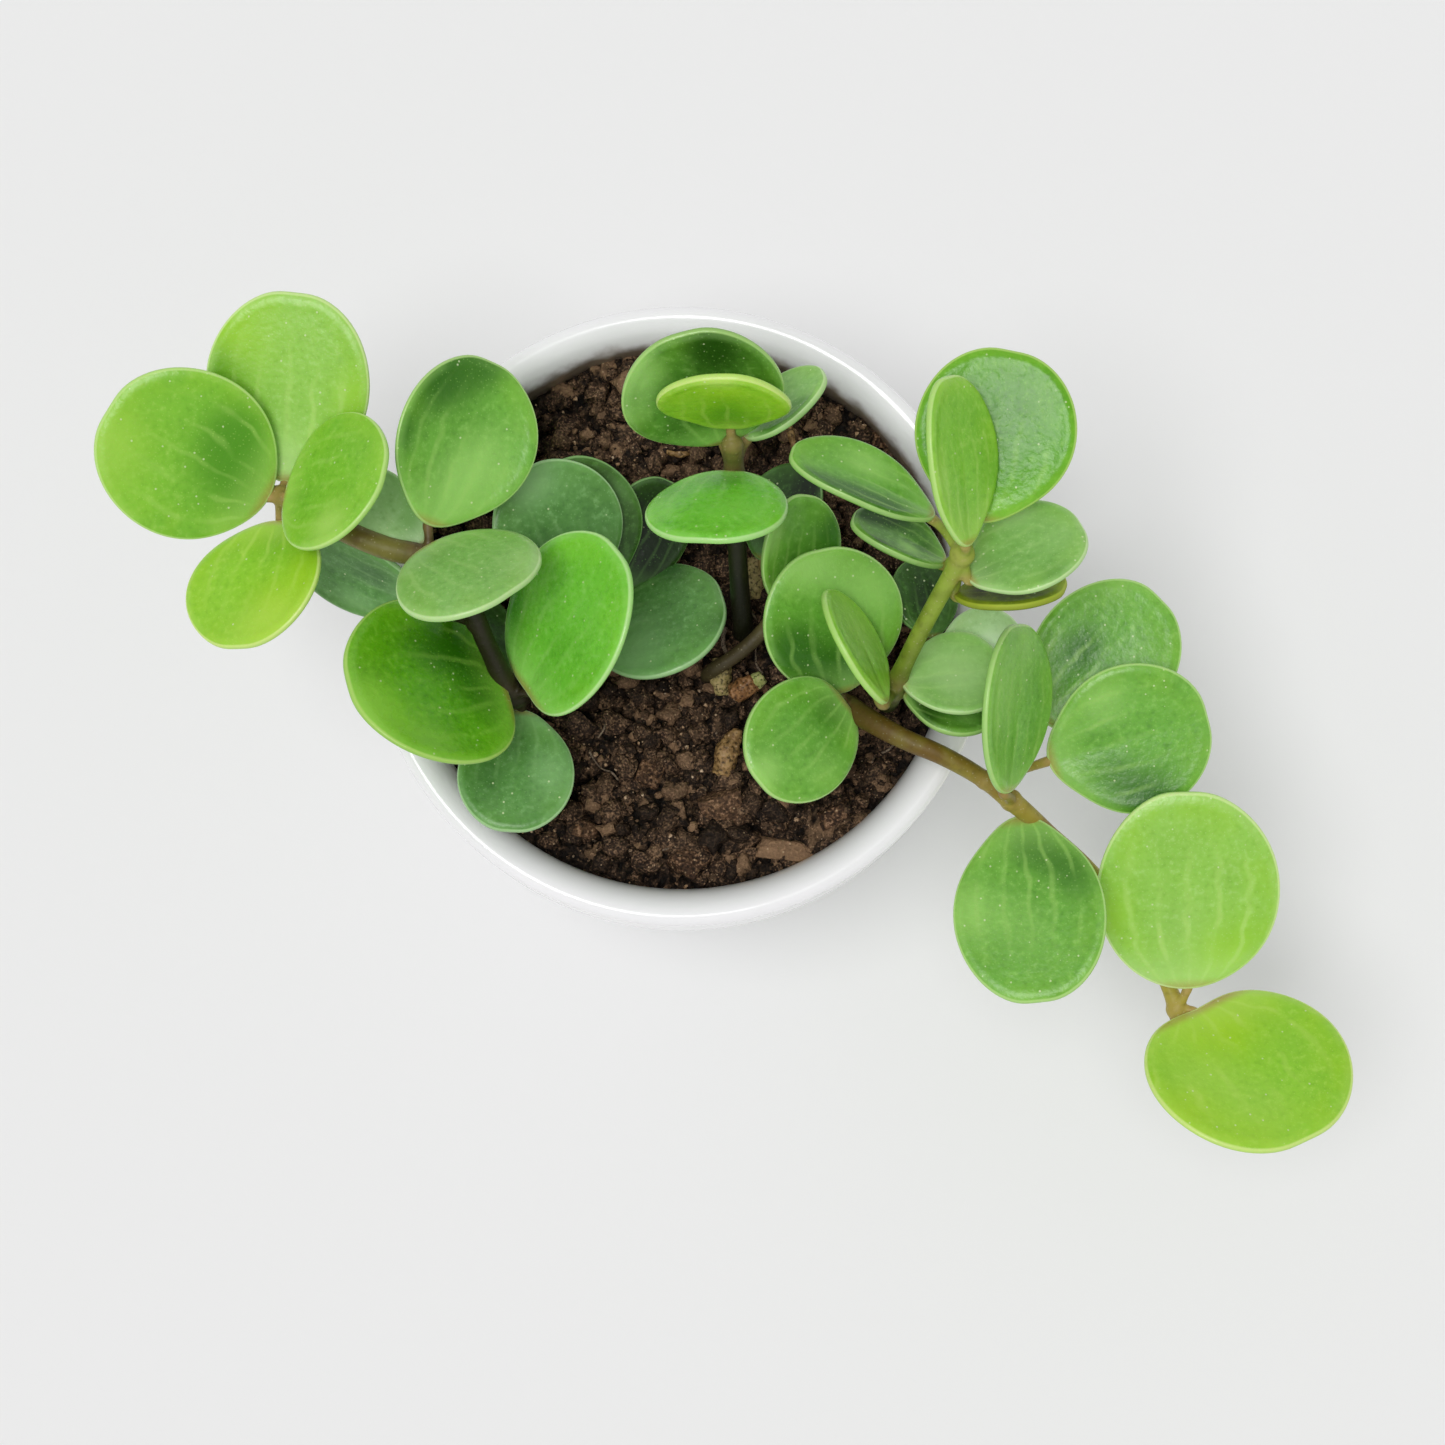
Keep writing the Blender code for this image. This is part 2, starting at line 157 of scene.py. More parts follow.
class Wire:
    """A shader socket that takes part in Python expressions."""

    def __init__(self, graph: "Graph", socket: bpy.types.NodeSocket) -> None:
        """Hold the socket and the graph that its maths nodes are added to."""
        self.graph = graph
        self.socket = socket

    def maths(self, operation: str, first: Value, second: Value) -> "Wire":
        """Add one Math node and give its result."""
        return self.graph.add("ShaderNodeMath", {"operation": operation}, {0: first, 1: second})

    def __add__(self, other: Value) -> "Wire":
        """Add a number or a wire."""
        return self.maths("ADD", self, other)

    def __radd__(self, other: Value) -> "Wire":
        """Be added to a number."""
        return self.maths("ADD", other, self)

    def __sub__(self, other: Value) -> "Wire":
        """Take a number or a wire away."""
        return self.maths("SUBTRACT", self, other)

    def __rsub__(self, other: Value) -> "Wire":
        """Be taken away from a number."""
        return self.maths("SUBTRACT", other, self)

    def __mul__(self, other: Value) -> "Wire":
        """Multiply by a number or a wire."""
        return self.maths("MULTIPLY", self, other)

    def __rmul__(self, other: Value) -> "Wire":
        """Multiply a number."""
        return self.maths("MULTIPLY", other, self)

    def fold(self, width: float) -> "Wire":
        """Run up and down between 0 and a width, as a folded strip does."""
        return self.maths("PINGPONG", self, width)

    def step(self, low: float, high: float) -> "Wire":
        """Rise smoothly from 0 at low to 1 at high; it falls where low is above high.

        Args:
            low: The value that gives 0.
            high: The value that gives 1.

        Returns:
            The smoothed share, from 0 to 1.
        """
        if low > high:
            return 1 - self.step(high, low)
        settings = {"interpolation_type": "SMOOTHSTEP"}
        return self.graph.add("ShaderNodeMapRange", settings, {0: self, 1: low, 2: high})


class Graph:
    """The node tree of one Principled material."""

    def __init__(self, name: str) -> None:
        """Make the material and keep hold of its shader.

        Args:
            name: The material's name.
        """
        self.material = bpy.data.materials.new(name)
        self.material.use_nodes = True
        self.tree = self.material.node_tree
        self.shader = self.tree.nodes["Principled BSDF"]

    def feed(self, socket: bpy.types.NodeSocket, value: Value) -> None:
        """Link a wire to a socket, or set the socket's own value.

        Args:
            socket: The socket.
            value: The wire, number, colour or vector.
        """
        if isinstance(value, Wire):
            self.tree.links.new(value.socket, socket)
        else:
            socket.default_value = value

    def add(
        self,
        kind: str,
        settings: Optional[Mapping[str, Any]] = None,
        inputs: Optional[Mapping[Union[str, int], Value]] = None,
        output: Union[str, int] = 0,
    ) -> Wire:
        """Add any node.

        Args:
            kind: The node's type.
            settings: Its own settings, which are set first.
            inputs: Values or wires for its sockets, by name or number.
            output: The socket to give back.

        Returns:
            A wire from that socket.
        """
        made = self.tree.nodes.new(kind)
        for name, value in (settings or {}).items():
            setattr(made, name, value)
        for name, value in (inputs or {}).items():
            self.feed(made.inputs[name], value)
        return Wire(self, made.outputs[output])

    def mix(self, factor: Value, first: Value, second: Value) -> Wire:
        """Blend two colours."""
        settings = {"data_type": "RGBA"}
        return self.add("ShaderNodeMix", settings, {0: factor, 6: first, 7: second}, 2)

    def lay(self, colour: Value, *coats: tuple[Value, Value]) -> Value:
        """Lay coats of colour over each other.

        Args:
            colour: The colour at the bottom.
            *coats: How much of each coat shows, and its colour, from the lowest up.

        Returns:
            The colour that is seen.
        """
        for share, coat in coats:
            colour = self.mix(share, colour, coat)
        return colour

    def place(self) -> Wire:
        """Give the point's place on the object, in metres."""
        return self.add("ShaderNodeTexCoord", output="Object")

    def part(self, vector: Wire, axis: str) -> Wire:
        """Take one coordinate out of a vector."""
        return self.add("ShaderNodeSeparateXYZ", inputs={0: vector}, output=axis)

    def attribute(self, name: str) -> Wire:
        """Read a number stored on the mesh."""
        return self.add("ShaderNodeAttribute", {"attribute_name": name}, output="Fac")

    def noise(self, size_mm: float, detail: float = 3.0) -> Wire:
        """Give cloudy noise from 0 to 1 whose clouds are about size_mm across."""
        inputs = {"Vector": self.place(), "Scale": 1 / (size_mm * MM), "Detail": detail}
        return self.add("ShaderNodeTexNoise", inputs=inputs)

    def cells(self, size_mm: float, output: str = "Distance") -> Wire:
        """Give a Voronoi pattern whose cells are about size_mm across."""
        inputs = {"Vector": self.place(), "Scale": 1 / (size_mm * MM)}
        return self.add("ShaderNodeTexVoronoi", inputs=inputs, output=output)

    def chosen(self, size_mm: float, low: float, high: float) -> Wire:
        """Pick some of the cells by chance: none up to low, and all that draw over high."""
        chance = self.cells(size_mm, "Color")
        return self.add("ShaderNodeSeparateColor", inputs={0: chance}).step(low, high)

    def bump(self, height: Wire, depth_mm: float) -> Wire:
        """Turn a height from 0 to 1 into a normal, with the real depth of its relief."""
        inputs = {"Height": height, "Distance": depth_mm * MM, "Strength": 1.0}
        return self.add("ShaderNodeBump", inputs=inputs)

    def close(self, wires: Mapping[str, Value], numbers: Mapping[str, Value]) -> bpy.types.Material:
        """Feed the shader.

        Args:
            wires: What changes over the surface, by socket name.
            numbers: What is the same all over, by socket name.

        Returns:
            The finished material.
        """
        for name, value in {**wires, **numbers}.items():
            self.feed(self.shader.inputs[name], value)
        return self.material


@dataclass(frozen=True)
class LeafTone:
    """The waxy skin of a leaf of one age, lit or shaded: its tones partly hold painted light and shade.

    Attributes:
        body: The upper side's main colour.
        deep: The darker colour of its clouds and of painted shade.
        pale: The colour of painted lit patches and the blade's foot.
        glow: The yellower colour of warm patches and of the zone near the edge.
        margin: The colour of the rounded edge, a pale rim lightened as a painted highlight.
        roughness: How dull the skin is.
        vein: How much the veins show, from 0 to 1.
    """

    body: Colour
    deep: Colour
    pale: Colour
    glow: Colour
    margin: Colour
    roughness: float
    vein: float

    FOOT_TAN = srgb(176, 142, 78)
    # Pale gland specks, partly painted glints
    SPECK = srgb(214, 228, 178)
    # Sizes in mm of the patterns in and on the skin; HAZE_MM also sets the size of the painted sheen near
    # the edge
    CLOUD_MM = 9.0
    ZONE_MM = 6.0
    HAZE_MM = 5.0
    GRAIN_MM = 0.9
    PORE_MM = 0.55
    DOT_MM = 1.3
    SKIN_MM = (0.8, 2.2)
    RELIEF_MM = 0.11
    SCATTER_MM = 0.8
    # The number of veins across, how far they wander, and how much the underside differs
    VEINS = 6.0
    WANDER = 0.12
    UNDER = 0.62

    def streak(self) -> Colour:
        """Give the veins' colour, between the glow and the margin."""
        return tuple((warm + light) / 2 for warm, light in zip(self.glow, self.margin))

    def upper(self, graph: Graph) -> Value:
        """Paint the upper side: clouds, zones, painted shade and light, veins, foot, fine specks and
        painted glints.

        Args:
            graph: The material's tree.

        Returns:
            The upper side's colour.
        """
        blade = graph.add("ShaderNodeUVMap", {"uv_map": "blade"})
        along = graph.part(blade, "X")
        clouds = graph.noise(self.CLOUD_MM).step(0.35, 0.75)
        grain = graph.noise(self.GRAIN_MM, 4.0)
        zone = graph.noise(self.ZONE_MM, 2.0).step(0.25, 0.65)
        rim = graph.attribute("edge").step(0.4, 0.95) * zone
        shade = graph.attribute("shade")
        wander = (graph.noise(self.HAZE_MM, 1.0) - 0.5) * self.WANDER
        away = ((graph.part(blade, "Y") + wander) * self.VEINS).fold(0.5)
        broken = graph.noise(self.ZONE_MM, 2.0).step(0.3, 0.6)
        reach = along.step(0.95, 0.3) * self.vein
        pores = graph.cells(self.PORE_MM).step(0.25, 0.1)
        dots = graph.cells(self.DOT_MM).step(0.14, 0.08) * graph.chosen(self.DOT_MM, 0.6, 0.62)
        return graph.lay(
            self.body,
            (clouds * 0.25, self.deep),
            (grain.step(0.5, 0.8) * 0.5, self.pale),
            (grain.step(0.5, 0.22) * 0.4, self.deep),
            (rim * 0.4, self.glow),
            (graph.attribute("warm"), self.glow),
            # Painted shade and painted light from the blade's patches
            (shade.step(0.0, 1.0), self.deep),
            (shade.step(0.0, -1.0), self.pale),
            (away.step(0.15, 0.5) * reach * 0.15, self.deep),
            (away.step(0.17, 0.03) * broken * reach * 0.75, self.streak()),
            (along.step(0.3, 0.02) * 0.55, self.pale),
            (along.step(0.075, 0.0) * 0.85, self.FOOT_TAN),
            (pores * 0.32, self.pale),
            # Pale specks, partly painted glints
            (dots * 0.7, self.SPECK),
        )

    def material(self, name: str) -> bpy.types.Material:
        """Build the tone's material.

        Args:
            name: The material's name.

        Returns:
            The material, for the upper side, the margin and the underside.
        """
        graph = Graph(name)
        edge = graph.attribute("edge")
        under = graph.attribute("under")
        # Painted sheen: a paler band just inside the edge, standing in for the light's soft reflection
        painted_sheen = graph.noise(self.HAZE_MM, 2.0).step(0.3, 0.6) * 0.25
        front = graph.lay(
            self.upper(graph),
            (edge.step(0.85, 0.96) * painted_sheen, self.pale),
            # The rounded edge: a pale rim, lightened further as a painted highlight
            (edge.step(0.965, 0.985) * 0.8, self.margin),
        )
        clouds = graph.noise(self.HAZE_MM).step(0.3, 0.7)
        back = graph.lay(self.body, (clouds * 0.4, self.deep), (0.15, self.pale))
        fine, coarse = self.SKIN_MM
        skin = graph.noise(fine) * 0.7 + graph.cells(coarse).step(0.0, 0.8) * 0.3
        roughness = self.roughness + skin * 0.1 + under * 0.2 - edge.step(0.9, 1.0) * 0.06
        return graph.close(
            {"Base Color": graph.mix(under * self.UNDER, front, back), "Roughness": roughness,
             "Normal": graph.bump(skin, self.RELIEF_MM)},
            {"Subsurface Weight": 0.1, "Subsurface Radius": (0.3, 1.0, 0.1),
             "Subsurface Scale": self.SCATTER_MM * MM, "IOR": 1.42},
        )


@dataclass(frozen=True)
class StemFinish:
    """The skin of a stem: older at its foot, younger above, tan at its joints, darkened by painted shade
    where it sits in shadow.

    Attributes:
        old: The colour low on the stem.
        young: The colour towards its tip.
        joint: The colour of joints and of the stalks' ends.
    """

    old: Colour
    young: Colour
    joint: Colour = srgb(176, 146, 90)

    # Painted shade, laid on the stem where it sits in shadow between leaves
    DARK = srgb(10, 17, 2)
    STREAK = srgb(70, 62, 22)
    DRY = srgb(190, 178, 120)
    PIT = srgb(214, 204, 160)
    STREAK_MM = 1.2
    PATCH_MM = 6.0
    PIT_MM = 0.7
    RELIEF_MM = 0.12

    def material(self, name: str) -> bpy.types.Material:
        """Build the stem's material.

        Args:
            name: The material's name.

        Returns:
            The material.
        """
        graph = Graph(name)
        streaks = graph.noise(self.STREAK_MM, 4.0)
        patches = graph.noise(self.PATCH_MM, 2.0).step(0.35, 0.7)
        ripe = graph.attribute("age") + (patches - 0.5) * 0.5
        colour = graph.lay(
            self.young,
            (ripe.step(0.15, 0.85), self.old),
            (graph.attribute("joint") * 0.75, self.joint),
            (streaks.step(0.5, 0.8) * 0.35, self.STREAK),
            (streaks.step(0.4, 0.2) * 0.3, self.DRY),
            (graph.cells(self.PIT_MM).step(0.2, 0.1) * 0.35, self.PIT),
            # Painted shade, from the stem's shade marks
            (graph.attribute("shade") * 0.92, self.DARK),
        )
        return graph.close(
            {"Base Color": colour, "Roughness": 0.42 + streaks * 0.15,
             "Normal": graph.bump(streaks, self.RELIEF_MM)},
            {"IOR": 1.42},
        )


@dataclass(frozen=True)
class GlazeFinish:
    """White glaze, darker low on the inner wall and most at the back, partly soiling from the mix and
    partly painted shade, and a bare foot ring.
    """

    white: Colour = srgb(252, 250, 254)
    cool: Colour = srgb(240, 241, 244)
    # Colour of the inner wall's low darkening: partly soiling from the mix, partly painted shade
    soiling_and_shade: Colour = srgb(112, 90, 64)
    bare: Colour = srgb(214, 205, 190)

    WAVE_MM = 14.0
    SMEAR_MM = 3.5
    RELIEF_MM = 0.12
    SCATTER_MM = 6.0
    # The fade of the soiling and painted shade, how far its edge wanders, and how much higher it reaches
    # at the back
    FADE_MM = 3.5
    WANDER_MM = 4.0
    BACK_RISE_MM = 3.2

    def material(self, name: str, stain_top: float, foot_top: float) -> bpy.types.Material:
        """Build the glaze.

        Args:
            name: The material's name.
            stain_top: The height in mm where the inner wall's soiling and painted shade end.
            foot_top: The height in mm below which the clay is bare.

        Returns:
            The material.
        """
        graph = Graph(name)
        place = graph.place()
        height = graph.part(place, "Z")
        back = graph.part(place, "Y")
        waves = graph.noise(self.WAVE_MM, 1.0)
        wander = (graph.noise(self.SMEAR_MM) - 0.5) * (self.WANDER_MM * MM)
        rise = back.step(-0.01, 0.02) * (self.BACK_RISE_MM * MM)
        # Darker low on the inner wall near the mix and most at the back: partly soiling, partly painted
        # shade
        low = (height + wander - rise).step(stain_top * MM, (stain_top - self.FADE_MM) * MM)
        soiling_and_shade_mask = low * graph.attribute("inside") * (back.step(-0.015, 0.01) * 0.85 + 0.05)
        foot = height.step(foot_top * MM, 0.0)
        colour = graph.lay(
            self.white,
            (waves.step(0.3, 0.7) * 0.3, self.cool),
            (soiling_and_shade_mask, self.soiling_and_shade),
            (foot, self.bare),
        )
        return graph.close(
            {"Base Color": colour, "Roughness": 0.16 + waves * 0.06 + foot * 0.6,
             "Normal": graph.bump(waves, self.RELIEF_MM)},
            {"Coat Weight": 0.4, "Coat Roughness": 0.08, "IOR": 1.5, "Subsurface Weight": 0.6,
             "Subsurface Radius": (1.0, 1.0, 1.0), "Subsurface Scale": self.SCATTER_MM * MM},
        )


@dataclass(frozen=True)
class EarthFinish:
    """Damp potting mix, bark, grit or dry stem bits, in two colours, with painted shade in their crevices
    and fine gaps.

    Attributes:
        dark: The main colour.
        light: The colour of raised and drier grains.
        roughness: How dull it is.
        grain_mm: The size of its finest colour grains.
        relief_mm: The depth of its finest relief.
        mixed: How much of the light colour shows.
    """

    dark: Colour
    light: Colour
    roughness: float
    grain_mm: float
    relief_mm: float
    mixed: float

    # Painted shade in the fine gaps between grains
    SHADE_BETWEEN_GRAINS = srgb(12, 7, 4)
    DUST = srgb(190, 150, 118)
    DARK_CLOD = srgb(18, 11, 7)
    PALE_CLOD = srgb(166, 132, 100)
    # Painted shade in the crevices between clods and crumbs
    CRACK_SHADE = srgb(8, 5, 3)
    # Pale flecks on raised grains: partly pale grit, partly painted glints
    FLECK = srgb(206, 176, 140)
    # Sizes of finer and coarser patterns, as a part of the grain's
    DUST_PART = 0.5
    CLOD_PART = 7
    FLECK_PART = 1.1

    def material(self, name: str) -> bpy.types.Material:
        """Build the material.

        Args:
            name: The material's name.

        Returns:
            The material.
        """
        graph = Graph(name)
        grain = graph.noise(self.grain_mm, 4.0)
        dust = graph.noise(self.grain_mm * self.DUST_PART)
        clods = graph.noise(self.grain_mm * self.CLOD_PART, 2.0).step(0.35, 0.7)
        raised = graph.attribute("raised")
        tint = graph.attribute("tint")
        fleck_mm = self.grain_mm * self.FLECK_PART
        flecks = graph.cells(fleck_mm).step(0.2, 0.1) * graph.chosen(fleck_mm, 0.55, 0.6)
        colour = graph.lay(
            self.dark,
            ((grain.step(0.47, 0.64) * 0.65 + clods * 0.35) * self.mixed, self.light),
            # Painted shade in the fine gaps
            (dust.step(0.5, 0.36) * 0.7, self.SHADE_BETWEEN_GRAINS),
            (dust.step(0.56, 0.68) * self.mixed * 0.55, self.DUST),
            (tint.step(0.45, 0.0) * 0.8, self.DARK_CLOD),
            (tint.step(0.75, 1.0) * 0.6, self.PALE_CLOD),
            # Painted shade in the crevices
            (raised.step(0.7, 0.2) * 0.95, self.CRACK_SHADE),
            # Pale flecks, partly painted glints on raised grains
            (flecks * raised.step(0.5, 0.8) * 0.6, self.FLECK),
        )
        relief = grain * 0.6 + dust * 0.4
        return graph.close(
            {"Base Color": colour, "Roughness": self.roughness - grain.step(0.55, 0.75) * 0.2,
             "Normal": graph.bump(relief, self.relief_mm)},
            {"IOR": 1.3},
        )


class Bench:
    """Steps at the bench that every piece goes through."""

    @staticmethod
    def take(obj: bpy.types.Object) -> None:
        """Deselect everything and take one object in hand.

        Args:
            obj: The object.
        """
        bpy.ops.object.select_all(action="DESELECT")
        obj.select_set(True)
        bpy.context.view_layer.objects.active = obj

    @staticmethod
    def link(name: str, data: bpy.types.ID) -> bpy.types.Object:
        """Put a mesh, curve, light or camera into the scene as an object.

        Args:
            name: The object's name.
            data: What it holds.

        Returns:
            The object.
        """
        obj = bpy.data.objects.new(name, data)
        bpy.context.scene.collection.objects.link(obj)
        return obj

    @staticmethod
    @contextmanager
    def editing(obj: bpy.types.Object) -> Iterator[None]:
        """Select all of one mesh in edit mode, and leave that mode afterwards.

        Args:
            obj: The mesh object.

        Yields:
            Nothing, once all of it is selected.
        """
        Bench.take(obj)
        bpy.ops.object.mode_set(mode="EDIT")
        bpy.ops.mesh.select_all(action="SELECT")
        yield
        bpy.ops.object.mode_set(mode="OBJECT")

    @staticmethod
    def apply(obj: bpy.types.Object, kind: str, **settings: Any) -> None:
        """Put one modifier on a mesh object and apply it.

        Args:
            obj: The object.
            kind: The modifier's type.
            **settings: The modifier's own settings.
        """
        Bench.take(obj)
        modifier = obj.modifiers.new(kind.title(), kind)
        for name, value in settings.items():
            setattr(modifier, name, value)
        bpy.ops.object.modifier_apply(modifier=modifier.name)

    @staticmethod
    def primitive(operator: Callable[..., Any], name: str, **settings: Any) -> bpy.types.Object:
        """Add a primitive at its size and place, and move its place into its mesh.

        Args:
            operator: The operator that adds it.
            name: The object's name.
            **settings: The operator's settings.

        Returns:
            The object, in hand.
        """
        bpy.ops.object.select_all(action="DESELECT")
        operator(**settings)
        obj = bpy.context.object
        obj.name = name
        obj.data.name = name
        bpy.context.view_layer.update()
        obj.data.transform(obj.matrix_world)
        obj.matrix_world = Matrix.Identity(4)
        return obj

    @staticmethod
    def outwards(obj: bpy.types.Object) -> None:
        """Merge doubled points and turn every face outwards.

        Args:
            obj: The mesh object.
        """
        with Bench.editing(obj):
            bpy.ops.mesh.remove_doubles(threshold=0.001 * MM)
            bpy.ops.mesh.normals_make_consistent(inside=False)

    @staticmethod
    def note(obj: bpy.types.Object, name: str, values: Union[float, Sequence[float]]) -> None:
        """Store a number for every point of a mesh.

        Args:
            obj: The object.
            name: The attribute that materials read.
            values: One number for all, or one for each vertex, in order.
        """
        if isinstance(values, float):
            values = [values] * len(obj.data.vertices)
        attribute = obj.data.attributes.new(name, "FLOAT", "POINT")
        attribute.data.foreach_set("value", values)

    @staticmethod
    def tube(name: str, knots: Sequence[Knot], sides: int = 6) -> bpy.types.Object:
        """Run a closed round tube through (x, y, z, radius) points.

        Args:
            name: The object's name.
            knots: The points in mm.
            sides: The bevel resolution of its section.

        Returns:
            The tube as a mesh object.
        """
        curve = bpy.data.curves.new(name, "CURVE")
        curve.dimensions = "3D"
        curve.bevel_depth = MM
        curve.bevel_resolution = sides
        curve.resolution_u = 6
        curve.use_fill_caps = True
        spline = curve.splines.new("BEZIER")
        spline.bezier_points.add(len(knots) - 1)
        for point, (*spot, radius) in zip(spline.bezier_points, knots):
            point.co = Vector(spot) * MM
            point.radius = radius
            point.handle_left_type = "AUTO"
            point.handle_right_type = "AUTO"
        Bench.take(Bench.link(name, curve))
        bpy.ops.object.convert(target="MESH")
        return bpy.context.object

    @staticmethod
    def join(name: str, pieces: Sequence[bpy.types.Object]) -> bpy.types.Object:
        """Join objects into the first and name it.

        Args:
            name: The joined object's name.
            pieces: The objects, the one to keep first.

        Returns:
            The joined object.
        """
        Bench.take(pieces[0])
        for piece in pieces[1:]:
            piece.select_set(True)
        bpy.ops.object.join()
        joined = bpy.context.object
        joined.name = name
        joined.data.name = name
        return joined

    @staticmethod
    def hand_over(
        obj: bpy.types.Object, material: bpy.types.Material, slot: str, *nodes: str
    ) -> bpy.types.Object:
        """Dress a finished piece and let it ride with the pot.

        Args:
            obj: The piece.
            material: Its finish.
            slot: The record's material slot; not used.
            *nodes: The frame's nodes that it stands for.

        Returns:
            The piece.
        """
        obj.data.materials.clear()
        obj.data.materials.append(material)
        obj.data.polygons.foreach_set("material_index", [0] * len(obj.data.polygons))
        Bench.take(obj)
        bpy.ops.object.shade_smooth()
        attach(obj, ROOT)
        if nodes:
            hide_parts(*nodes)
        LOG.info("%s: %d faces", obj.name, len(obj.data.polygons))
        return obj

    @staticmethod
    def lay_on_mix(obj: bpy.types.Object, material: bpy.types.Material) -> bpy.types.Object:
        """Hand over a piece that lies on the mix, with no painted crevice shade and one tint.

        Args:
            obj: The piece.
            material: Its finish.

        Returns:
            The piece.
        """
        Bench.note(obj, "raised", FULLY_RAISED)
        Bench.note(obj, "tint", EVEN_TINT)
        return Bench.hand_over(obj, material, "potting_mix")


@dataclass
class Pot:
    """The round pot: a turned shell with a soft lip and a bare foot ring.

    Attributes:
        height: Its height.
        foot: The radius of its underside.
        belly: Its widest radius.
        belly_height: Where it is widest.
        fullness: How fast it swells above the foot.
        rim: The outer radius at the lip.
        wall: The wall's thickness below the lip.
        lip: The radius of the lip's highest ring.
        lip_depth: How far down the lip's soft inner rounding goes.
        floor: The floor's thickness.
        sides: How many steps it is turned in.
    """

    height: float = 70.0
    foot: float = 31.5
    belly: float = 45.2
    belly_height: float = 50.0
    fullness: float = 0.8
    rim: float = 44.9
    wall: float = 5.6
    lip: float = 43.4
    lip_depth: float = 8.0
    floor: float = 5.0
    sides: int = 192

    LEVELS = 26
    LIP_STEPS = 12
    LIP_FALL = 1.6
    LIP_TURN = 2.2
    # Steps of the section, as (sideways, up), at the foot ring, the outer edge and the floor's corner
    RING = 27.0
    RING_STEPS = ((0.0, 1.2), (0.5, 0.3), (1.2, 0.0))
    EDGE_STEPS = ((-1.2, 0.0), (-0.5, 0.25))
    EDGE_TOP = 1.0
    COVE = 4.0
    COVE_STEPS = ((0.0, 3.0), (-1.2, 0.9), (-3.5, 0.0))
    CENTRE = 8.0
    # Heights of the soiling and painted shade, and of the bare clay, and where the inside starts
    SOILING_AND_SHADE_TOP = 64.8
    BARE_TOP = 0.9
    INSIDE_FROM = 6.0
    INSIDE_DEPTH = 1.2

    def outer(self, height: float) -> float:
        """Give the radius of the outside.

        Args:
            height: The height above the underside.

        Returns:
            The radius there.
        """
        share = min(height / self.belly_height, 1.0)
        swell = math.sin(share * math.pi / 2) ** self.fullness
        above = max(height - self.belly_height, 0.0) / (self.height - self.belly_height)
        return self.foot + (self.belly - self.foot) * swell + (self.rim - self.belly) * above

    def inner(self, height: float) -> float:
        """Give the radius of the inside at a height."""
        return self.outer(height) - self.wall

    def lip_points(self) -> list[Spot2]:
        """Draw the lip's section: round outside, and softly rolled inwards.

        Returns:
            Its (radius, height) points.
        """
        edge = self.rim - self.lip
        points = []
        for i in range(self.LIP_STEPS):
            across, up = polar(edge, math.pi / 2 * i / self.LIP_STEPS)
            points.append((self.lip + across, self.height - edge + up))
        spread = self.lip - self.inner(self.height - self.lip_depth)
        for i in range(2 * self.LIP_STEPS + 1):
            down = i / (2 * self.LIP_STEPS)
            radius = self.lip - spread * (1 - (1 - down) ** self.LIP_TURN)
            points.append((radius, self.height - self.lip_depth * down ** self.LIP_FALL))
        return points

    def profile(self) -> list[Spot2]:
        """Draw the wall's section, from the underside's recess round the lip to the floor.

        Returns:
            Its (radius, height) points.
        """
        cove = self.floor + self.COVE
        corner = self.inner(cove)
        climb = self.height - (self.rim - self.lip) - self.EDGE_TOP
        heights = [self.EDGE_TOP + climb * (i / self.LEVELS) for i in range(1, self.LEVELS)]
        inside = [height for height in heights if cove < height < self.height - self.lip_depth]
        points = [(self.RING + out, up) for out, up in self.RING_STEPS]
        points += [(self.foot + out, up) for out, up in self.EDGE_STEPS]
        points += [(self.outer(height), height) for height in [self.EDGE_TOP] + heights]
        points += self.lip_points()
        points += [(self.inner(height), height) for height in reversed(inside)]
        points += [(corner + out, self.floor + up) for out, up in self.COVE_STEPS]
        return points + [(self.CENTRE, self.floor)]

    def build(self, finish: GlazeFinish) -> bpy.types.Object:
        """Turn the pot by extruding a disc along its section, and glaze it.

        Args:
            finish: The glaze.

        Returns:
            The pot.
        """
        profile = self.profile()
        radius, height = profile[0]
        pot = Bench.primitive(
            bpy.ops.mesh.primitive_circle_add, "glazed_pot", vertices=self.sides,
            radius=radius * MM, fill_type="NGON", location=(0, 0, height * MM))
        with Bench.editing(pot):
            for after in profile[1:]:
                grow = after[0] / radius
                rise = (0.0, 0.0, (after[1] - height) * MM)
                bpy.ops.mesh.extrude_region_move(TRANSFORM_OT_translate={"value": rise})
                middle = (0.0, 0.0, after[1] * MM)
                bpy.ops.transform.resize(value=(grow, grow, 1.0), center_override=middle)
                radius, height = after
        Bench.outwards(pot)
        inside = []
        for vertex in pot.data.vertices:
            height = vertex.co.z / MM
            depth = min(self.outer(height) - self.INSIDE_DEPTH, self.lip)
            inside.append(float(vertex.co.xy.length / MM < depth and height > self.INSIDE_FROM))
        Bench.note(pot, "inside", inside)
        glaze = finish.material("white_glaze_finish", self.SOILING_AND_SHADE_TOP, self.BARE_TOP)
        return Bench.hand_over(pot, glaze, "white_glaze", "pot")


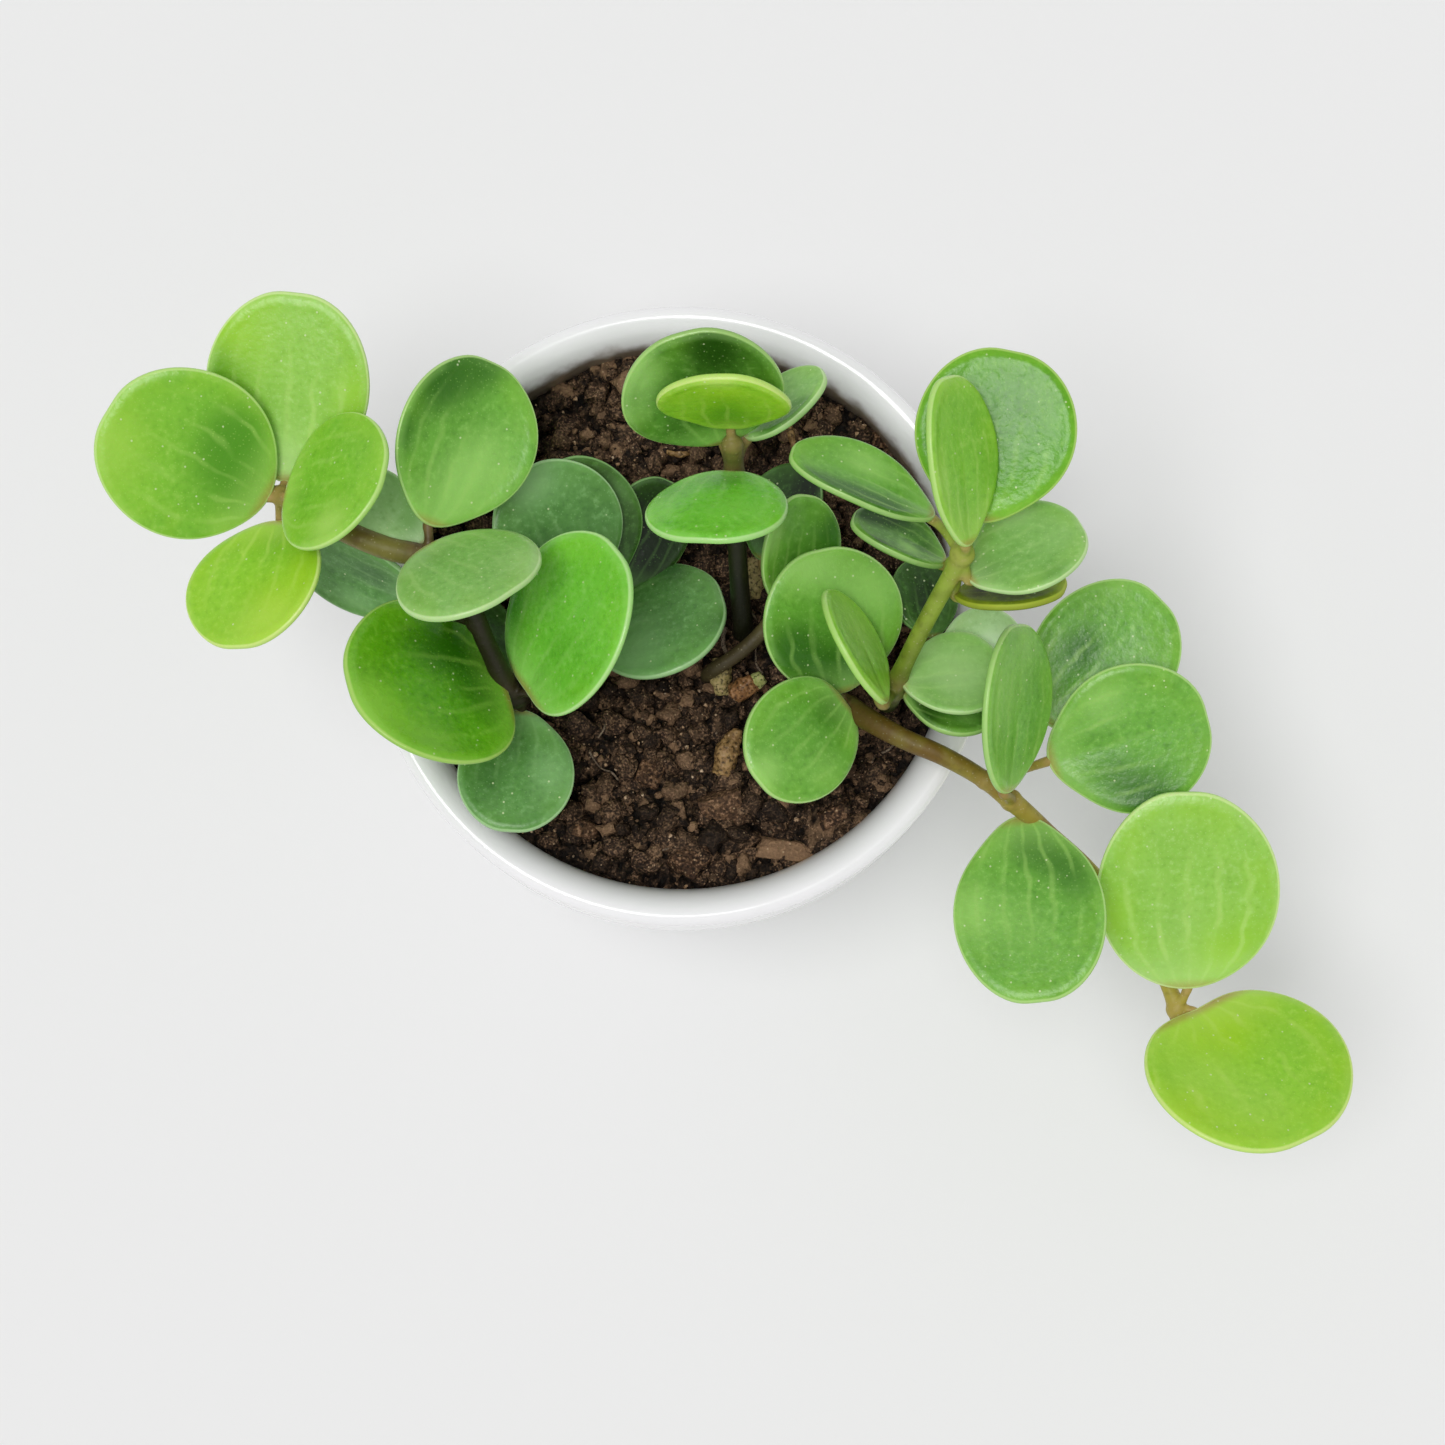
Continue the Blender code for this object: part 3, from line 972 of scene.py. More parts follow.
@dataclass(frozen=True)
class Litter:
    """Small loose bits of one kind that are strewn over the bed.

    Attributes:
        name: The piece's name.
        count: How many bits there are.
        sizes: The least and the largest radius.
        sunk: How deep each sits, as a part of its radius.
        seed: What is added to the soil's own seed.
        models: The seeds of the models, which are used in turn.
        faces: The subdivisions of the ball that a model starts from.
        roughness: How far a model's points move, as a part of its radius.
    """

    name: str
    count: int
    sizes: Pair
    sunk: float
    seed: int
    models: tuple[int, ...]
    faces: int
    roughness: float

    # Scale and shift of the coarse and the fine noise, and how much the fine one counts
    COARSE = (1.4, 3.1)
    FINE = (3.3, 2.3)
    FINE_PART = 0.5

    def model(self, seed: int) -> bpy.types.Object:
        """Model one rough bit of unit size.

        Args:
            seed: The seed of its shape.

        Returns:
            The bit.
        """
        obj = Bench.primitive(
            bpy.ops.mesh.primitive_ico_sphere_add, f"crumb_{seed}", subdivisions=self.faces,
            radius=1.0)
        coarse, shift = self.COARSE
        fine, slip = self.FINE
        for vertex in obj.data.vertices:
            push = noise.noise(vertex.co * coarse + Vector((seed * shift, 0, 0)))
            push += self.FINE_PART * noise.noise(vertex.co * fine + Vector((0, seed * slip, 0)))
            vertex.co *= 1 + self.roughness * push
        return obj


CRUMBS = Litter("loose_crumbs", 2300, (0.35, 2.0), 0.3, 1, (1, 2, 3, 4, 8), 2, 0.85)
FLECKS = Litter("pale_flecks", 1100, (0.12, 0.42), 0.0, 2, (5, 6, 7), 1, 0.7)


@dataclass(frozen=True)
class Bark:
    """One bark piece: its place, half sizes, tilt and lift off the bed."""

    spot: Spot2
    half: Spot3
    tilt: Spot3
    lift: float


@dataclass
class Soil:
    """The potting mix: a crumbly bed, loose crumbs, bark pieces, grit and fine roots.

    Attributes:
        pot: The pot that it fills.
        height: Its mean level.
        gap: How far the bed's sides stay off the pot, below the top.
        cuts: How many cells the bed has across.
        lumps: How many large lumps there are.
        seed: The seed of everything strewn.
    """

    pot: Pot
    height: float = 62.0
    gap: float = 0.3
    cuts: int = 290
    lumps: int = 120
    seed: int = 5

    LUMP_RADIUS = (2.5, 6.5)
    LUMP_RISE = (0.8, 3.2)
    # Size and relief of the clods, crumbs and grains, and how their cells are bent and domed
    GRAINS = ((6.5, 2.0), (3.1, 1.3), (1.5, 0.7), (0.8, 0.35))
    GRAIN_STEP = 3.7
    GRAIN_MEAN = 0.55
    GRAIN_RISE = (0.45, 1.1)
    WARP = 0.4
    WARP_SCALE = 1.9
    CRACK = 0.32
    CRACK_CURVE = 0.6
    DOME_FALL = 0.35
    RAISED_PART = 0.8
    # How far the bed lies below its lumps, and how much it is banked up by the wall
    SUNK = 1.1
    BANK = 0.8
    BANK_FROM = 0.85
    CLOD = 2.2
    # The bed's edge goes under the wall, and its sides go down these levels to the pot's floor
    OVERLAP = 0.2
    EDGE = 3.0
    EDGE_DROP = 3.5
    LEVELS = (42.0, 24.0, 12.0)
    COVE_TOP = 9.0
    COVE_IN = 2.5
    # How much painted crevice shade the bed's sides get
    SIDES_RAISED = 0.4
    # Bits are more often small, and stretched each way; chips are cut, worn and bevelled
    SMALLNESS = 2.5
    STRETCH = (0.7, 1.2)
    CHIPS = (11, 12, 13)
    CHIP_CUT = 0.3
    CHIP_WEAR = 0.2
    CHIP_BEVEL = 0.06
    # Fine roots: their number, where they start and end, thickness, lift, bends and step
    ROOTS = 26
    ROOT_START = 38
    ROOT_END = 40
    ROOT_RADIUS = (0.08, 0.2)
    ROOT_LIFT = (0.2, 0.9)
    ROOT_BEND = (-0.6, 0.6)
    ROOT_STEP = 1.5
    ROOT_KNOTS = 5

    def __post_init__(self) -> None:
        """Draw the large lumps, each a place with a radius and a rise."""
        draw = random.Random(self.seed)
        self.shapes: list[Pair] = []
        spots = []
        for _ in range(self.lumps):
            spots.append(Vector((*spot_on_disc(draw, self.mouth), 0.0)))
            self.shapes.append((draw.uniform(*self.LUMP_RADIUS), draw.uniform(*self.LUMP_RISE)))
        self.tree = tree_of(spots)

    @property
    def mouth(self) -> float:
        """Give the radius of the mix's surface."""
        return self.pot.inner(self.height)

    def relief(self, x: float, y: float) -> Pair:
        """Work out the surface at a point.

        Args:
            x: Across, in mm.
            y: To the back, in mm.

        Returns:
            The height in mm, and how far the point is raised out of the crevices, 0 to 1.
        """
        rise = 0.0
        for _, i, away in self.tree.find_range((x, y, 0.0), self.LUMP_RADIUS[1]):
            radius, tall = self.shapes[i]
            if away < radius:
                rise = max(rise, tall * math.sqrt(1 - (away / radius) ** 2))
        raised = 0.0
        least, more = self.GRAIN_RISE
        for i, (size, tall) in enumerate(self.GRAINS):
            spot = Vector((x / size, y / size, self.GRAIN_STEP * i))
            spot += self.WARP * noise.noise_vector(spot * self.WARP_SCALE)
            away, centres = noise.voronoi(spot, distance_metric="DISTANCE", exponent=2.5)
            crack = min(1.0, (away[1] - away[0]) / self.CRACK)
            lump = least + more * abs(noise.noise(centres[0] * 5.3))
            dome = crack ** self.CRACK_CURVE * lump * (1 - self.DOME_FALL * away[0])
            rise += tall * (dome - self.GRAIN_MEAN)
            raised += crack * lump * tall
        share = raised / (sum(tall for _, tall in self.GRAINS) * self.RAISED_PART)
        outwards = max(0.0, math.hypot(x, y) / self.mouth - self.BANK_FROM)
        rise += self.BANK * outwards / (1 - self.BANK_FROM)
        return self.height + rise - self.SUNK, min(1.0, share)

    def on_bed(self, x: float, y: float, lift: float) -> Vector:
        """Give the place so far above the surface at a point."""
        return Vector((x, y, self.relief(x, y)[0] + lift))

    def build_bed(self, material: bpy.types.Material) -> bpy.types.Object:
        """Raise a round bed from a grid, and close it down to the pot's floor.

        Args:
            material: The mix's finish.

        Returns:
            The bed.
        """
        edge = self.mouth + self.OVERLAP
        bed = Bench.primitive(
            bpy.ops.mesh.primitive_grid_add, "potting_mix_bed", x_subdivisions=self.cuts,
            y_subdivisions=self.cuts, size=2.0)
        raised, tint = [], []
        for vertex in bed.data.vertices:
            x, y = round_off(vertex.co.x, vertex.co.y)
            height, share = self.relief(x * edge, y * edge)
            raised.append(share)
            _, centres = noise.voronoi(Vector((x, y, 0.0)) * edge / self.CLOD)
            tint.append(0.5 + noise.cell(centres[0] * 7.7) * 0.5)
            vertex.co = Vector((x * edge, y * edge, height)) * MM
        with Bench.editing(bed):
            bpy.ops.mesh.region_to_loop()
            level = self.height - self.EDGE
            mouth = self.pot.inner(level) - self.gap
            drop = (0.0, 0.0, -self.EDGE_DROP * MM)
            bpy.ops.mesh.extrude_edges_move(TRANSFORM_OT_translate={"value": drop})
            for low in (*self.LEVELS, self.pot.floor + self.gap):
                below = self.pot.inner(max(low, self.COVE_TOP)) - self.gap
                below -= self.COVE_IN if low < self.COVE_TOP else 0.0
                drop = (0.0, 0.0, (low - level) * MM)
                bpy.ops.mesh.extrude_edges_move(TRANSFORM_OT_translate={"value": drop})
                shrink = (below / mouth, below / mouth, 1.0)
                bpy.ops.transform.resize(value=shrink, center_override=(0.0, 0.0, low * MM))
                level, mouth = low, below
            bpy.ops.mesh.edge_face_add()
        sides = len(bed.data.vertices) - len(raised)
        Bench.note(bed, "raised", raised + [self.SIDES_RAISED] * sides)
        Bench.note(bed, "tint", tint + [EVEN_TINT] * sides)
        return Bench.hand_over(bed, material, "potting_mix", "soil")

    def scatter(
        self,
        name: str,
        models: Sequence[bpy.types.Object],
        places: Sequence[tuple[Vector, Euler, Vector]],
        material: bpy.types.Material,
    ) -> bpy.types.Object:
        """Copy small models over the bed and hand the copies over as one piece.

        Args:
            name: The piece's name.
            models: The models, used in turn and then thrown away.
            places: The place, turn and size of each copy, in mm.
            material: The piece's finish.

        Returns:
            The piece.
        """
        bm = bmesh.new()
        draw = random.Random(self.seed)
        tint = []
        for i, (spot, turn, size) in enumerate(places):
            start = len(bm.verts)
            bm.from_mesh(models[i % len(models)].data)
            bm.verts.ensure_lookup_table()
            matrix = Matrix.Translation(spot * MM) @ turn.to_matrix().to_4x4()
            matrix = matrix @ Matrix.Diagonal((*(size * MM), 1.0))
            for vertex in bm.verts[start:]:
                vertex.co = matrix @ vertex.co
            tint += [draw.random()] * (len(bm.verts) - start)
        mesh = bpy.data.meshes.new(name)
        bm.to_mesh(mesh)
        bm.free()
        piece = Bench.link(name, mesh)
        for model in models:
            bpy.data.objects.remove(model, do_unlink=True)
        Bench.note(piece, "raised", FULLY_RAISED)
        Bench.note(piece, "tint", tint)
        return Bench.hand_over(piece, material, "potting_mix")

    def strew(self, litter: Litter, material: bpy.types.Material) -> bpy.types.Object:
        """Strew loose bits on the bed's surface, more small ones than large ones.

        Args:
            litter: What they are like.
            material: Their finish.

        Returns:
            The bits as one piece.
        """
        draw = random.Random(self.seed + litter.seed)
        models = [litter.model(seed) for seed in litter.models]
        least, largest = litter.sizes
        places = []
        for _ in range(litter.count):
            size = least + (largest - least) * draw.random() ** self.SMALLNESS
            x, y = spot_on_disc(draw, self.mouth - size)
            spot = self.on_bed(x, y, size * (0.5 - litter.sunk))
            tilt = Euler([draw.uniform(0.0, FULL_TURN) for _ in range(3)])
            stretch = Vector([draw.uniform(*self.STRETCH) for _ in range(3)])
            places.append((spot, tilt, size * stretch))
        return self.scatter(litter.name, models, places, material)

    def chip(self, seed: int) -> bpy.types.Object:
        """Model one angular piece of bark of unit size: a cut block with worn edges.

        Args:
            seed: The seed of its shape.

        Returns:
            The piece of bark.
        """
        obj = Bench.primitive(bpy.ops.mesh.primitive_cube_add, f"chip_{seed}", size=2.0)
        draw = random.Random(seed)
        for vertex in obj.data.vertices:
            vertex.co += Vector([draw.uniform(-self.CHIP_CUT, self.CHIP_CUT) for _ in range(3)])
        with Bench.editing(obj):
            bpy.ops.mesh.subdivide(number_cuts=3, smoothness=0.12)
        for vertex in obj.data.vertices:
            place = vertex.co * self.WARP_SCALE + Vector((seed, 0, 0))
            vertex.co += self.CHIP_WEAR * noise.noise_vector(place)
        Bench.apply(obj, "BEVEL", width=self.CHIP_BEVEL, segments=1, limit_method="ANGLE")
        return obj

    def build_bark(
        self, pieces: Sequence[Bark], material: bpy.types.Material
    ) -> bpy.types.Object:
        """Set the larger bark pieces where they lie.

        Args:
            pieces: The bark pieces.
            material: Their finish.

        Returns:
            The bark as one piece.
        """
        places = []
        for piece in pieces:
            tilt = Euler([math.radians(angle) for angle in piece.tilt])
            places.append((self.on_bed(*piece.spot, piece.lift), tilt, Vector(piece.half)))
        chips = [self.chip(seed) for seed in self.CHIPS]
        return self.scatter("bark_pieces", chips, places, material)

    def root(self, draw: random.Random) -> list[Knot]:
        """Draw the winding course of one fine root over the crumbs.

        Args:
            draw: The source of chance.

        Returns:
            Its (x, y, z, radius) points, which end at the wall.
        """
        x, y = spot_on_disc(draw, self.ROOT_START)
        heading = draw.uniform(0.0, FULL_TURN)
        knots = []
        for _ in range(self.ROOT_KNOTS):
            if math.hypot(x, y) > self.ROOT_END:
                break
            thick = draw.uniform(*self.ROOT_RADIUS)
            knots.append((*self.on_bed(x, y, draw.uniform(*self.ROOT_LIFT)), thick))
            heading += draw.uniform(*self.ROOT_BEND)
            ahead, aside = polar(self.ROOT_STEP, heading)
            x += ahead
            y += aside
        return knots

    def build_roots(self, material: bpy.types.Material) -> bpy.types.Object:
        """Lay a few fine dry roots over the crumbs.

        Args:
            material: Their finish.

        Returns:
            The roots as one piece.
        """
        draw = random.Random(self.seed + 3)
        roots = [self.root(draw) for _ in range(self.ROOTS)]
        tubes = [Bench.tube(f"root_{i}", root, 1) for i, root in enumerate(roots) if len(root) > 2]
        return Bench.lay_on_mix(Bench.join("dry_roots", tubes), material)


@dataclass(frozen=True)
class Patch:
    """A darker or lighter patch on a blade: mostly painted shade and painted light, partly the leaf's own
    uneven tone.

    Attributes:
        along: Its middle along the blade, from 0 at the foot to 1 at the tip.
        across: Its middle across, from -1 on the right to 1 on the left.
        size: Its radius, as a part of half the blade.
        shade: How much painted shade it adds, or painted light where negative.
        warmth: How much yellower it is.
    """

    along: float
    across: float
    size: float
    shade: float
    warmth: float = 0.0


class Tone(Enum):
    """The ages and lights that a leaf can have: some tones are lit or shaded copies, painted light and
    shade.
    """

    FRESH = "fresh"
    LIME = "lime"
    GRASS = "grass"
    BRIGHT = "bright"
    VIVID = "vivid"
    JADE = "jade"
    SAGE = "sage"
    PALE = "pale"
    TEAL = "teal"
    MOSS = "moss"
    # Painted shade: the dark tone of leaves that sit in deep shade
    DEEP = "deep"
    OLIVE = "olive"


@dataclass(frozen=True)
class Leaf:
    """One thick round blade on its stalk.

    Attributes:
        root: Where the blade starts.
        heading: Its direction from +X towards +Y.
        pitch: How far its tip rises.
        roll: How far it turns about its own length.
        length: The blade's length.
        width: The blade's width.
        cup: How far the side edges lift, as a part of half the width.
        base: How far the outline is drawn out at the foot, or in where negative.
        tone: Its age and light.
        patches: Its patches of painted shade and painted light, and of warmer tone.
    """

    root: Spot3
    heading: float
    pitch: float
    roll: float
    length: float
    width: float
    cup: float
    base: float
    tone: Tone
    patches: tuple[Patch, ...]

    THICKNESS = 1.8
    FLATNESS = 0.6
    TIP_CURL = 0.05
    # The outline: its drawn-out foot, the notch at its tip and its slight unevenness
    BASE_SPREAD = 0.42
    NOTCH = 0.025
    NOTCH_SPREAD = 0.22
    SWAY = ((3, 0.005), (5, 0.003))
    # The upper side: the groove along the midrib, the rolled edge and the ripples
    GROOVE = 0.3
    GROOVE_SPREAD = 0.14
    EDGE_ROLL = 0.14
    EDGE_PLACE = 0.9
    EDGE_SPREAD = 0.07
    RIPPLE = 0.22
    RIPPLES = (2.1, 1.1)

    @property
    def phase(self) -> float:
        """Give a number of its own to the blade, so that no two are uneven alike."""
        return self.heading + self.length * 7

    def outline(self, unit: Vector) -> Spot3:
        """Place a point of a unit ball on the blade's outline.

        Args:
            unit: The point of the ball.

        Returns:
            Its share of the way out to the edge, its place along and its place across.
        """
        reach = math.hypot(unit.x, unit.y) ** self.FLATNESS
        turn = math.atan2(unit.y, unit.x)
        base = self.base * bell(math.pi - abs(turn), self.BASE_SPREAD)
        notch = self.NOTCH * bell(turn, self.NOTCH_SPREAD)
        sway = 0.0
        for i, (waves, size) in enumerate(self.SWAY):
            sway += size * math.sin(waves * turn + (i + 1) * self.phase)
        drawn = reach * (1 + base - notch + sway * reach ** 3)
        along = (drawn * math.cos(turn) + 1 + self.base) / (2 + self.base)
        return reach, along, drawn * math.sin(turn)

    def point(self, unit: Vector) -> Vector:
        """Shape a point of a unit ball: thick plate, cup, curl, groove, rolled edge, ripple.

        Args:
            unit: The point of the ball.

        Returns:
            The point on the blade, in mm from its root, before it is turned.
        """
        reach, along, across = self.outline(unit)
        skin = math.copysign(abs(unit.z) ** self.FLATNESS, unit.z) * self.THICKNESS / 2
        lift = self.cup * self.width / 2 * across * across
        lift -= self.TIP_CURL * self.length * along * along
        if unit.z > 0:
            fade = max(0.0, 1 - along) ** 1.5
            skin -= self.GROOVE * bell(across, self.GROOVE_SPREAD) * fade * (1 - reach ** 8)
            skin += self.EDGE_ROLL * bell(reach - self.EDGE_PLACE, self.EDGE_SPREAD)
        length, width = self.RIPPLES
        wave = noise.noise(Vector((along * length, across * width, self.phase)))
        ripple = self.RIPPLE * wave * reach
        return Vector((along * self.length, across * self.width / 2, skin + lift + ripple))

    def turn(self) -> Matrix:
        """Give the rotation from +X to the blade's heading, pitch and roll."""
        angles = (self.roll, -self.pitch, self.heading)
        return Euler([math.radians(angle) for angle in angles]).to_matrix()

    def socket(self, inwards: float, below: float) -> Vector:
        """Give a point so far from the root along the midrib, and so far below it."""
        return Vector(self.root) + self.turn() @ Vector((inwards, 0.0, -below))

    def patched(self, along: float, across: float) -> Pair:
        """Sum the patches at a place on the blade.

        Args:
            along: How far along the blade it is.
            across: How far across.

        Returns:
            Its painted shade, from -1 to 1, and its warmth, from 0 to 1.
        """
        shade = warmth = 0.0
        for patch in self.patches:
            away = math.hypot((along - patch.along) * 2, across - patch.across)
            here = bell(away, patch.size)
            shade += patch.shade * here
            warmth += patch.warmth * here
        return limit(shade, -1.0), min(1.0, warmth)

    def build(
        self, name: str, pattern: bpy.types.Object, material: bpy.types.Material, slot: str,
        node: str,
    ) -> bpy.types.Object:
        """Shape a copy of the unit ball into this blade.

        Args:
            name: The blade's name.
            pattern: The unit ball.
            material: The tone's material.
            slot: The record's material slot.
            node: The frame's node that it stands for.

        Returns:
            The blade.
        """
        mesh = pattern.data.copy()
        mesh.name = name
        blade = Bench.link(name, mesh)
        turn = self.turn()
        root = Vector(self.root)
        edge, under, shade, warm, chart = [], [], [], [], []
        for vertex in mesh.vertices:
            unit = vertex.co.copy()
            reach, along, across = self.outline(unit)
            half = math.sqrt(max(0.03, 1 - (2 * along - 1) ** 2))
            chart.append((along, limit(across / half, -1.0) * 0.5 + 0.5))
            edge.append(min(1.0, reach))
            under.append(limit(0.5 - unit.z * 3))
            shaded, warmed = self.patched(along, across)
            shade.append(shaded)
            warm.append(warmed)
            vertex.co = (root + turn @ self.point(unit)) * MM
        layer = mesh.uv_layers.new(name="blade")
        for loop in mesh.loops:
            layer.data[loop.index].uv = chart[loop.vertex_index]
        for mark, values in {"edge": edge, "under": under, "shade": shade, "warm": warm}.items():
            Bench.note(blade, mark, values)
        return Bench.hand_over(blade, material, slot, node)


@dataclass(frozen=True)
class Whorl:
    """A joint of the stem and the leaves whose stalks start there."""

    joint: Spot3
    leaves: tuple[Leaf, ...]


@dataclass(frozen=True)
class Shoot:
    """A leafy stem.

    Attributes:
        node: The frame's node that it stands for.
        skin: The stem's finish.
        slot: The record's material slot.
        shade: How much painted shade darkens its skin, from its foot to its tip, in even steps.
        route: The stem's (x, y, z, radius) points.
        whorls: Its joints with their leaves.
    """

    node: str
    skin: StemFinish
    slot: str
    shade: tuple[float, ...]
    route: tuple[Knot, ...]
    whorls: tuple[Whorl, ...]

    # A stalk's radius, its share at each point, its bend, and its ends as (inwards, below)
    STALK = 0.8
    STALK_TAPER = (1.15, 0.85, 1.0, 0.45)
    STALK_BEND = 0.3
    STALK_FOOT = (0.2, 0.45)
    STALK_END = (3.4, 0.75)
    COLLAR = 1.12
    VOXEL = 0.26
    JOINT_REACH = 1.7
    MARKS = 6

    @property
    def short(self) -> str:
        """Give the shoot's short name."""
        return self.node.removeprefix("shoot_")

    def stalk(self, name: str, joint: Spot3, leaf: Leaf) -> bpy.types.Object:
        """Run a tapering stalk from the joint, under the blade's foot, into the blade.

        Args:
            name: The stalk's name.
            joint: Where it starts.
            leaf: The leaf that it carries.

        Returns:
            The stalk.
        """
        start = Vector(joint)
        bend = Vector(leaf.root).lerp(start, self.STALK_BEND)
        spots = (start, bend, leaf.socket(*self.STALK_FOOT), leaf.socket(*self.STALK_END))
        knots = [(*spot, self.STALK * share) for spot, share in zip(spots, self.STALK_TAPER)]
        return Bench.tube(name, knots, 4)

    def collar(self, name: str, joint: Spot3) -> bpy.types.Object:
        """Model the swollen ring at a joint.

        Args:
            name: The ring's name.
            joint: The joint's place.

        Returns:
            The ring.
        """
        nearest = min(self.route, key=lambda knot: (Vector(knot[:3]) - Vector(joint)).length)
        return Bench.primitive(
            bpy.ops.mesh.primitive_uv_sphere_add, name, segments=20, ring_count=12,
            radius=nearest[3] * self.COLLAR * MM, location=Vector(joint) * MM)

    def build_stem(self) -> bpy.types.Object:
        """Grow the stem, its joints and its stalks into one skin.

        Returns:
            The stem.
        """
        name = f"stem_{self.short}"
        pieces = [Bench.tube(name, self.route)]
        for w, whorl in enumerate(self.whorls):
            pieces.append(self.collar(f"collar_{w}", whorl.joint))
            for i, leaf in enumerate(whorl.leaves):
                pieces.append(self.stalk(f"stalk_{w}_{i}", whorl.joint, leaf))
        stem = Bench.join(name, pieces)
        Bench.apply(stem, "REMESH", mode="VOXEL", voxel_size=self.VOXEL * MM)
        Bench.apply(stem, "SMOOTH", factor=0.5, iterations=5)
        self.mark(stem)
        material = self.skin.material(f"{self.short}_stem_skin")
        return Bench.hand_over(stem, material, self.slot, self.node)

    def shade_at(self, share: float) -> float:
        """Read how much painted shade darkens the skin.

        Args:
            share: The place along the stem, from 0 at its foot to 1 at its tip.

        Returns:
            The shade there, from 0 to 1.
        """
        steps = len(self.shade) - 1
        low = min(int(share * steps), steps - 1)
        return self.shade[low] + (self.shade[low + 1] - self.shade[low]) * (share * steps - low)

    def mark(self, stem: bpy.types.Object) -> None:
        """Note on the stem's points how old, how near to a joint and how darkened by painted shade they
        are.

        Args:
            stem: The stem.
        """
        spots = [Vector(knot[:3]) for knot in self.route]
        places, shares = [], []
        for i in range(len(spots) - 1):
            for k in range(self.MARKS):
                part = k / self.MARKS
                places.append(spots[i].lerp(spots[i + 1], part) * MM)
                shares.append((i + part) / (len(spots) - 1))
        route = tree_of(places)
        ends = [Vector(whorl.joint) * MM for whorl in self.whorls]
        ends += [Vector(leaf.root) * MM for whorl in self.whorls for leaf in whorl.leaves]
        tips = tree_of(ends)
        age, joint, shade = [], [], []
        for vertex in stem.data.vertices:
            share = shares[route.find(vertex.co)[1]]
            age.append(1 - share)
            shade.append(self.shade_at(share))
            joint.append(bell(tips.find(vertex.co)[2] / MM, self.JOINT_REACH))
        Bench.note(stem, "age", age)
        Bench.note(stem, "joint", joint)
        Bench.note(stem, "shade", shade)

    def build(self, pattern: bpy.types.Object, tones: Mapping[Tone, bpy.types.Material]) -> None:
        """Build the stem and all its blades.

        Args:
            pattern: The unit ball that blades are shaped from.
            tones: The material of each tone.
        """
        self.build_stem()
        for w, whorl in enumerate(self.whorls):
            for i, leaf in enumerate(whorl.leaves):
                name = f"leaf_{self.short}_{w + 1}_{i + 1}"
                leaf.build(name, pattern, tones[leaf.tone], self.slot, self.node)


TONES: dict[Tone, LeafTone] = {
    Tone.FRESH: LeafTone(
        srgb(150, 204, 82), srgb(112, 168, 40), srgb(186, 226, 136),
        srgb(156, 210, 44), srgb(212, 238, 160), 0.27, 0.6),
    Tone.LIME: LeafTone(
        srgb(145, 205, 50), srgb(106, 170, 26), srgb(184, 224, 94),
        srgb(168, 212, 22), srgb(214, 236, 140), 0.27, 0.5),
    Tone.GRASS: LeafTone(
        srgb(130, 196, 52), srgb(84, 152, 22), srgb(172, 218, 100),
        srgb(152, 206, 44), srgb(196, 230, 140), 0.27, 0.45),
    Tone.BRIGHT: LeafTone(
        srgb(118, 202, 58), srgb(70, 148, 30), srgb(158, 222, 112),
        srgb(134, 208, 48), srgb(192, 232, 156), 0.22, 0.35),
    Tone.VIVID: LeafTone(
        srgb(96, 170, 18), srgb(40, 98, 6), srgb(146, 206, 70),
        srgb(120, 188, 24), srgb(180, 216, 112), 0.22, 0.35),
    Tone.JADE: LeafTone(
        srgb(111, 176, 60), srgb(58, 114, 26), srgb(156, 210, 104),
        srgb(132, 190, 50), srgb(184, 222, 136), 0.25, 0.55),
    Tone.SAGE: LeafTone(
        srgb(136, 190, 96), srgb(90, 144, 54), srgb(178, 218, 140),
        srgb(146, 196, 78), srgb(200, 230, 164), 0.3, 0.45),
    Tone.PALE: LeafTone(
        srgb(186, 224, 158), srgb(120, 172, 90), srgb(214, 240, 196),
        srgb(180, 220, 130), srgb(220, 240, 200), 0.3, 0.3),
    Tone.TEAL: LeafTone(
        srgb(94, 148, 72), srgb(44, 86, 34), srgb(146, 196, 126),
        srgb(106, 162, 64), srgb(170, 210, 150), 0.27, 0.35),
    Tone.MOSS: LeafTone(
        srgb(90, 146, 50), srgb(40, 82, 18), srgb(152, 204, 104),
        srgb(120, 172, 48), srgb(176, 216, 128), 0.25, 0.55),
    # Painted shade: the dark tone of leaves that sit in deep shade
    Tone.DEEP: LeafTone(
        srgb(50, 88, 28), srgb(16, 34, 8), srgb(106, 156, 80),
        srgb(72, 116, 30), srgb(136, 182, 108), 0.25, 0.3),
    Tone.OLIVE: LeafTone(
        srgb(80, 98, 2), srgb(34, 38, 1), srgb(150, 172, 20),
        srgb(126, 146, 8), srgb(176, 192, 56), 0.6, 0.2),
}

BROWN_SKIN = StemFinish(srgb(104, 74, 38), srgb(132, 124, 50))
OLIVE_SKIN = StemFinish(srgb(66, 62, 28), srgb(112, 112, 48))
PALE_SKIN = StemFinish(srgb(84, 72, 44), srgb(110, 100, 60))
GOLDEN_SKIN = StemFinish(srgb(138, 106, 34), srgb(166, 154, 54))
GREEN_SKIN = StemFinish(srgb(116, 132, 38), srgb(148, 172, 58))

